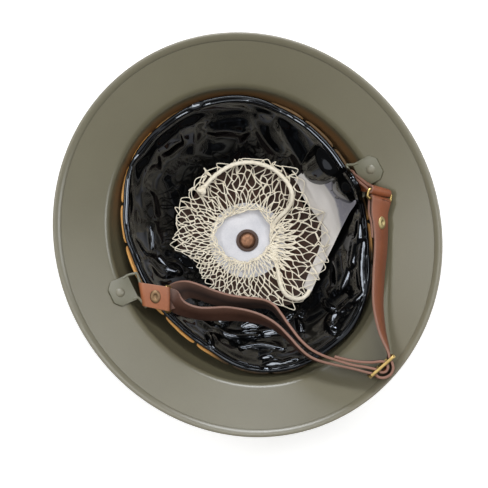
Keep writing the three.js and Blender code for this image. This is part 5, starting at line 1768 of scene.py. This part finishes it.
@dataclass
class CrownPad:
    """Felt, label, cotton, string net, draw cord, washer and rivet in the middle of the bowl."""

    bowl: ClothBowl
    felt: float = 2.5
    ripple: float = 0.25
    dish_sides: int = 120
    dish_hole: float = 3.0
    cotton_thick: float = 0.7
    label_radius: float = 30.0
    columns: int = 60
    rows: int = 8
    strand: float = 0.39
    crowding: float = 13.0
    cord_radius: float = 1.8
    washer_base: float = 9.6
    seed: int = 7
    edge: ClosedLine = field(default_factory=lambda: ClosedLine(NET_EDGE))
    hole: ClosedLine = field(default_factory=lambda: ClosedLine(NET_HOLE))
    cord_rows: tuple[tuple[float, float, float], ...] = (
        (49.0, -40.5, 0.8), (44.5, -46.0, 0.8), (38.0, -47.5, 0.8), (31.0, -44.5, 0.8), (27.0, -38.0, 0.0),
        (25.0, -29.0, -2.6), (23.8, -20.0, -4.0), (21.5, -11.0, -4.0), (19.8, -3.0, -4.0), (19.3, 5.0, -3.6),
        (21.0, 12.0, -2.4), (25.5, 18.0, -0.6), (30.5, 22.5, 0.6), (34.2, 28.0, 0.8), (35.2, 34.0, 0.8),
        (33.6, 40.3, 0.8), (28.4, 47.6, 0.8), (20.6, 54.4, 0.8), (11.8, 58.2, 0.8), (2.2, 60.0, 0.8),
        (-9.4, 58.8, 0.8), (-19.0, 54.5, 0.8), (-27.8, 47.9, 0.8), (-34.7, 40.0, 0.8),
    )
    cotton_rows: tuple[tuple[float, float, float, float], ...] = (
        (37, 47, 43.7, 52.2), (41, 41, 57.5, 44.7), (44, 33, 69.8, 40.4), (49, 25, 81.8, 27.1),
        (55, 16, 77.7, 17.3), (58, 7, 72.3, 5.8), (57, -6, 66.5, -6.7), (50, -23, 58.2, -24.3),
        (44, -38, 50.2, -41.8),
    )

    def cord_line(self) -> Array:
        """Gives the draw cord's centre line from its tucked end to its knot.

        Returns:
            The points of the line.
        """
        points = []
        for right, up, rise in self.cord_rows:
            p = turned(right, up)
            p[2] = self.bowl.over(p[0], p[1], NET_BASE + NET_THICK + self.cord_radius + rise)
            points.append(p)
        return even(spline(np.array(points), 12), 260)

    def build_cord(self, shop: Workshop) -> None:
        """Twists the draw cord and ties its knot.

        Args:
            shop: Where the pieces are made.
        """
        line = self.cord_line()
        first, second = frames_along(line, False)
        sides = 18
        run = run_along(line)
        a = 2 * np.pi * np.arange(sides) / sides
        twist = a[None, :] * 3 + (run / 5.2 * 2 * np.pi)[:, None]
        size = self.cord_radius * (0.93 + 0.09 * np.cos(twist))
        ring = np.cos(a)[None, :, None] * first[:, None, :] + np.sin(a)[None, :, None] * second[:, None, :]
        cord = shop.piece("draw_string", loft(line[:, None, :] + size[..., None] * ring), Surface.STRING,
                          ["draw_cord"], sharp=80)
        t = np.linspace(0, 2 * np.pi, 60, endpoint=False)
        loops = 1.15 * np.stack([np.sin(t) + 1.6 * np.sin(2 * t), np.cos(t) - 1.6 * np.cos(2 * t),
                                 -0.9 * np.sin(3 * t)], axis=1)
        centre = line[-1] + unit(line[-1] - line[-3]) * 1.6
        knot = shop.piece("cord_knot", tube(loops + centre + [0, 0, 0.6], 1.5, 10, True), Surface.STRING,
                          sharp=80)

    def build(self, shop: Workshop) -> None:
        """Builds and dresses the crown's pieces.

        Args:
            shop: Where the pieces are made.
        """
        felt = self.dish(shop, "felt_pad", lambda d: 0.93 * self.edge(d - math.degrees(TURN)) - 1.0, 0.5,
                         self.felt, Surface.FELT, ["crown_felt"])
        self.dish(shop, "round_label", lambda d: np.full(np.shape(d), self.label_radius), 3.6, 0.5,
                  Surface.LABEL, ["size_label"])
        self.build_cotton(shop)
        self.build_net(shop)
        self.build_fastening(shop)

    def dish(self, shop: Workshop, name: str, outer: Callable[[Array], Array], base: float, thick: float,
             surface: Surface, nodes: Sequence[str]) -> bpy.types.Object:
        """Lays a round sheet in the bowl.

        Args:
            shop: Where the piece is made.
            name: The piece's name.
            outer: Radius at each angle.
            base: Distance of its lower face over the cloth.
            thick: Its thickness.
            surface: Its finish.
            nodes: The solids that it stands for.

        Returns:
            The object.
        """
        degrees = 360 * np.arange(self.dish_sides) / self.dish_sides
        a = np.radians(degrees)[:, None]
        t = np.linspace(0, 1, 26)[None, :]
        r = self.dish_hole + (outer(degrees)[:, None] - self.dish_hole) * t
        x, y = r * np.cos(a), r * np.sin(a)
        ripple = self.ripple * (np.sin(3 * a + 0.15 * r) + np.sin(5 * a - 0.1 * r)) * ease(r, 8, 30)
        low, top = (self.bowl.layer(x, y, base + rise + ripple) for rise in (0.0, thick))
        section = np.concatenate([low, top[:, ::-1]], axis=1)
        return shop.piece(name, loft(section, True), surface, nodes, sharp=50)

    def build_cotton(self, shop: Workshop) -> None:
        """Lays the white cotton piece with its turned corner.

        Args:
            shop: Where the pieces are made.
        """
        rows = spline(np.array(self.cotton_rows, float), 8)
        t = np.linspace(0, 1, 40)[None, :]
        right = rows[:, :1] + (rows[:, 2:3] - rows[:, :1]) * t
        up = rows[:, 1:2] + (rows[:, 3:4] - rows[:, 1:2]) * t
        x, y, _ = turned(right, up)
        base = COTTON_BASE - 2.0 * ease(np.hypot(x, y), 62, 74)
        crease = 0.8 * np.exp(-((right - 58 + 0.35 * (up - 10)) / 2.5) ** 2)
        low, top = (self.bowl.layer(x, y, base + crease + rise) for rise in (0.0, self.cotton_thick))
        count, cols = x.shape
        points = np.concatenate([low.reshape(-1, 3), top.reshape(-1, 3)])
        shift = count * cols
        faces = grid_faces(count, cols)
        faces += [tuple(k + shift for k in f[::-1]) for f in grid_faces(count, cols)]
        rim = [i * cols for i in range(count)] + [(count - 1) * cols + j for j in range(1, cols)]
        rim += [i * cols + cols - 1 for i in range(count - 2, -1, -1)] + list(range(cols - 2, 0, -1))
        faces += [(p, q, q + shift, p + shift) for p, q in zip(rim, rim[1:] + rim[:1])]
        # Painted shade: the turned corner beyond this line takes the cotton's blue-grey worn colour
        shade = ease(right - np.interp(up, (9.6, 22.1, 29.4, 44.7), (72.3, 69.9, 67.5, 57.5)), -0.7, 0.7)
        cotton = shop.piece("cotton_sheet", (points, faces), Surface.COTTON, ["cotton_pad"], sharp=50,
                            wear=np.tile(shade.reshape(-1), 2))

    def net_point(self, column: Array, row: Array, lift: Array | float) -> Array:
        """Gives points of the net.

        Args:
            column: Place round the net, in columns.
            row: Place from the hole to the edge, in rows.
            lift: Height over the net's lower side.

        Returns:
            The points.
        """
        degrees = 360 * np.asarray(column, float) / self.columns
        degrees = degrees + self.crowding * np.sin(np.radians(degrees))
        share = np.power(np.asarray(row, float) / self.rows, 0.85)
        r = self.hole(degrees) + (self.edge(degrees) - self.hole(degrees)) * share
        a = np.radians(degrees) + TURN
        x, y = r * np.cos(a), r * np.sin(a)
        return self.bowl.layer(x, y, NET_BASE + lift)

    def build_net(self, shop: Workshop) -> None:
        """Knots the string net from the hole out.

        Args:
            shop: Where the pieces are made.
        """
        rng = np.random.default_rng(self.seed)
        knots: dict[tuple[int, int], Array] = {}
        for j in range(self.rows + 1):
            for i in range(self.columns):
                crumple = 1.0 + 1.2 * math.exp(-((360 * i / self.columns - 85) / 45) ** 2)
                shift = rng.normal(0, 0.25) * crumple * (0.4 + 0.6 * j / self.rows)
                row = j + rng.normal(0, 0.23) * crumple
                row = row - (rng.uniform(0.0, 0.8) if j == self.rows else 0.0)
                lift = 0.8 + rng.normal(0, 0.3) * crumple
                knots[i, j] = self.net_point(i + (j % 2) / 2 + shift, np.clip(row, 0, self.rows), lift)
        strands = []
        for j in range(self.rows - 1):
            for i in range(self.columns):
                other = (i + (1 if j % 2 else -1)) % self.columns
                for k in (i, other):
                    for _ in range(2 if rng.random() < 0.15 else 1):
                        strands.append(self.strand_between(knots[i, j], knots[k, j + 1], rng))
        for i in range(self.columns - 5, self.columns + 4):
            for step in (-1, 0, 1):
                far = knots[(i + step) % self.columns, 3]
                strands.append(self.strand_between(knots[i % self.columns, 0], far, rng))
        for i in range(self.columns):
            before, after = (knots[k % self.columns, self.rows - 1] for k in (i - 1, i))
            strands.append(self.edge_loop(before, knots[i, self.rows], after))
            for reach in (2, int(rng.integers(3, 7))):
                strands.append(self.hole_loop(knots[i, 0], knots[(i + reach) % self.columns, 0], rng))
        shop.piece("knotted_net", join(strands), Surface.STRING, ["string_net"], sharp=80)

    def edge_loop(self, start: Array, tip: Array, end: Array) -> Shape:
        """Bends one rounded loop of string at the net's outer edge."""
        wide = 0.07 * (start - end)
        line = np.array([start, start + 0.65 * (tip - start) + wide, tip,
                         end + 0.65 * (tip - end) - wide, end])
        return tube(spline(line, 3), self.strand, 6)

    def hole_loop(self, start: Array, end: Array, rng: np.random.Generator) -> Shape:
        """Bends one loose loop of string at the net's hole, from knot to knot."""
        t = np.linspace(0, 1, 9)[:, None]
        inward = -unit((start + end) / 2 * [1, 1, 0])
        line = start + (end - start) * t + inward * np.sin(np.pi * t) * rng.uniform(0.2, 2.6)
        line = line + np.array([0.0, 0.0, 1.0]) * np.sin(np.pi * t) * rng.uniform(0.1, 1.2)
        return tube(line, self.strand, 6)

    def strand_between(self, start: Array, end: Array, rng: np.random.Generator) -> Shape:
        """Runs one string from knot to knot with a little slack.

        Args:
            start: The first knot.
            end: The last knot.
            rng: Draws its slack.

        Returns:
            The shape.
        """
        t = np.linspace(0, 1, 6)[:, None]
        side = unit(np.cross(end - start, [0.0, 0.0, 1.0]))
        bow = np.sin(np.pi * t) * rng.normal(0, 0.6)
        rise = np.sin(np.pi * t) * rng.uniform(-0.15, 0.6)
        line = start + (end - start) * t + side * bow + np.array([0.0, 0.0, 1.0]) * rise
        size = self.strand * np.array([1.45, 1.1, 1.0, 1.0, 1.1, 1.45])
        return tube(line, size, 6)

    def build_fastening(self, shop: Workshop) -> None:
        """Turns the crown's washer and rivet.

        Args:
            shop: Where the pieces are made.
        """
        base = self.washer_base
        washer = [(2.4, base + 0.1), (8.6, base + 0.7), (9.0, base + 1.2), (8.8, base + 1.7),
                  (8.0, base + 1.85), (4.0, base + 1.5), (2.4, base + 1.3)]
        ring = loft(spun(washer, 48), True)
        shop.piece("dark_washer_ring", ring, Surface.WASHER, ["crown_washer"], sharp=50)
        seat = base + 1.9
        dome = soften([(0.0, seat + 2.4), (2.6, seat + 2.3), (4.7, seat + 1.9), (6.0, seat + 1.1),
                       (6.6, seat + 0.3), (6.7, seat)], 4)
        foot = [(2.2, seat), (2.2, 1.3), (7.2, 1.3), (7.4, 0.6), (6.6, 0.0), (0.0, 0.0)]
        wear = np.tile([0.4 * (1 - (r / 7.2) ** 2) for r, _ in dome] + [0.0] * len(foot), 48)
        shop.piece("copper_rivet", lathe(dome + foot, 48), Surface.COPPER, ["crown_rivet"], sharp=50,
                   wear=wear)


@dataclass
class Studio:
    """Camera, floor and light."""

    elevation: float = 87.1
    roll: float = 26.2
    distance: float = 1200.0
    focal_pixels: float = 1620.5
    image: int = 488
    brim_height: float = 111.0
    offset_right: float = -3.6
    offset_up: float = -10.7
    sensor: float = 36.0
    floor_glow: float = 0.5
    sky: float = 0.1
    lamps: tuple[Lamp, ...] = (
        Lamp("top_softbox", 0.0, 0.85, 1.45, 0.66, 0.17, 7.0, (1.0, 0.99, 0.97)),
        Lamp("right_softbox", 0.65, 0.55, 1.45, 0.65, 0.18, 6.0, (0.98, 0.99, 1.0)),
        Lamp("left_softbox", -0.84, 0.15, 1.45, 0.6, 0.16, 5.6, (1.0, 1.0, 1.0)),
        Lamp("far_strip", 0.0, 1.62, 0.85, 1.2, 0.26, 40.0, (0.93, 0.96, 1.0), True),
        Lamp("right_strip", 1.62, 0.2, 0.85, 0.8, 0.2, 14.0, (0.92, 0.96, 1.0), True),
        Lamp("overhead_fill", 0.0, -0.1, 1.75, 2.2, 1.8, 17.0, (1.0, 0.99, 0.98)),
    )

    def camera(self) -> bpy.types.Object:
        """Sets the camera at the picture's place.

        Returns:
            The camera.
        """
        roll, tilt = math.radians(self.roll), math.radians(self.elevation)
        right = np.array([math.cos(roll), -math.sin(roll), 0.0])
        ahead = np.array([math.sin(roll), math.cos(roll), 0.0])
        top = np.array([0.0, 0.0, 1.0])
        back = -ahead * math.cos(tilt) + top * math.sin(tilt)
        up = ahead * math.sin(tilt) + top * math.cos(tilt)
        scale = self.distance / self.focal_pixels
        at = (np.array([0.0, 0.0, self.brim_height]) + right * self.offset_right * scale
              + up * self.offset_up * scale + back * self.distance)
        data = bpy.data.cameras.new("picture_camera")
        data.sensor_width = self.sensor
        data.lens = self.focal_pixels / self.image * self.sensor
        data.clip_end = 20.0
        made = bpy.data.objects.new("picture_camera", data)
        basis = Matrix((right, up, back)).transposed().to_4x4()
        basis.translation = Vector(at * MM)
        made.matrix_world = basis
        bpy.context.scene.collection.objects.link(made)
        bpy.context.scene.camera = made
        return made

    @staticmethod
    def softbox(lamp: Lamp) -> None:
        """Hangs an area light that faces the helmet.

        Args:
            lamp: The softbox.
        """
        data = bpy.data.lights.new(lamp.name, "AREA")
        data.shape = "RECTANGLE"
        data.size, data.size_y = lamp.wide, lamp.high
        data.energy, data.color = lamp.watts, lamp.tint
        hung = bpy.data.objects.new(lamp.name, data)
        hung.visible_diffuse = not lamp.gloss_only
        at = Vector(turned(lamp.right, lamp.up, lamp.z))
        hung.location = at
        hung.rotation_euler = (Vector((0.0, 0.0, 0.08)) - at).to_track_quat("-Z", "Y").to_euler()
        bpy.context.scene.collection.objects.link(hung)

    def build(self) -> None:
        """Lays the floor and sets the light."""
        half = 2.5
        corners = [(-half, -half, 0), (half, -half, 0), (half, half, 0), (-half, half, 0)]
        mesh = bpy.data.meshes.new("pale_floor")
        mesh.from_pydata(corners, [], [(0, 1, 2, 3)])
        paper = bpy.data.materials.new("pale_floor")
        paper.use_nodes = True
        shader = paper.node_tree.nodes["Principled BSDF"]
        settings = {"Base Color": (0.93, 0.93, 0.93, 1), "Roughness": 0.9, "Emission Color": (1, 1, 1, 1),
                    "Emission Strength": self.floor_glow}
        for name, value in settings.items():
            shader.inputs[name].default_value = value
        mesh.materials.append(paper)
        floor = bpy.data.objects.new("pale_floor", mesh)
        bpy.context.scene.collection.objects.link(floor)
        world = bpy.data.worlds.new("studio")
        world.use_nodes = True
        sky = world.node_tree.nodes["Background"]
        sky.inputs["Color"].default_value = (1, 1, 1, 1)
        sky.inputs["Strength"].default_value = self.sky
        scene = bpy.context.scene
        scene.world = world
        scene.view_settings.view_transform = "Standard"
        for lamp in self.lamps:
            self.softbox(lamp)


def main() -> None:
    """Builds every sub-assembly in order and reports it."""
    logging.basicConfig(level=logging.INFO, format="%(name)s %(message)s")
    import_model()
    studio = Studio()
    studio.camera()
    shop = Workshop()
    bowl = ClothBowl()
    crown = CrownPad(bowl)
    crown.build_cord(shop)
    Steel().build(shop)
    ChinStrap().build(shop)
    bowl.build(shop)
    crown.build(shop)
    studio.build()


if __name__ == "__main__":
    main()
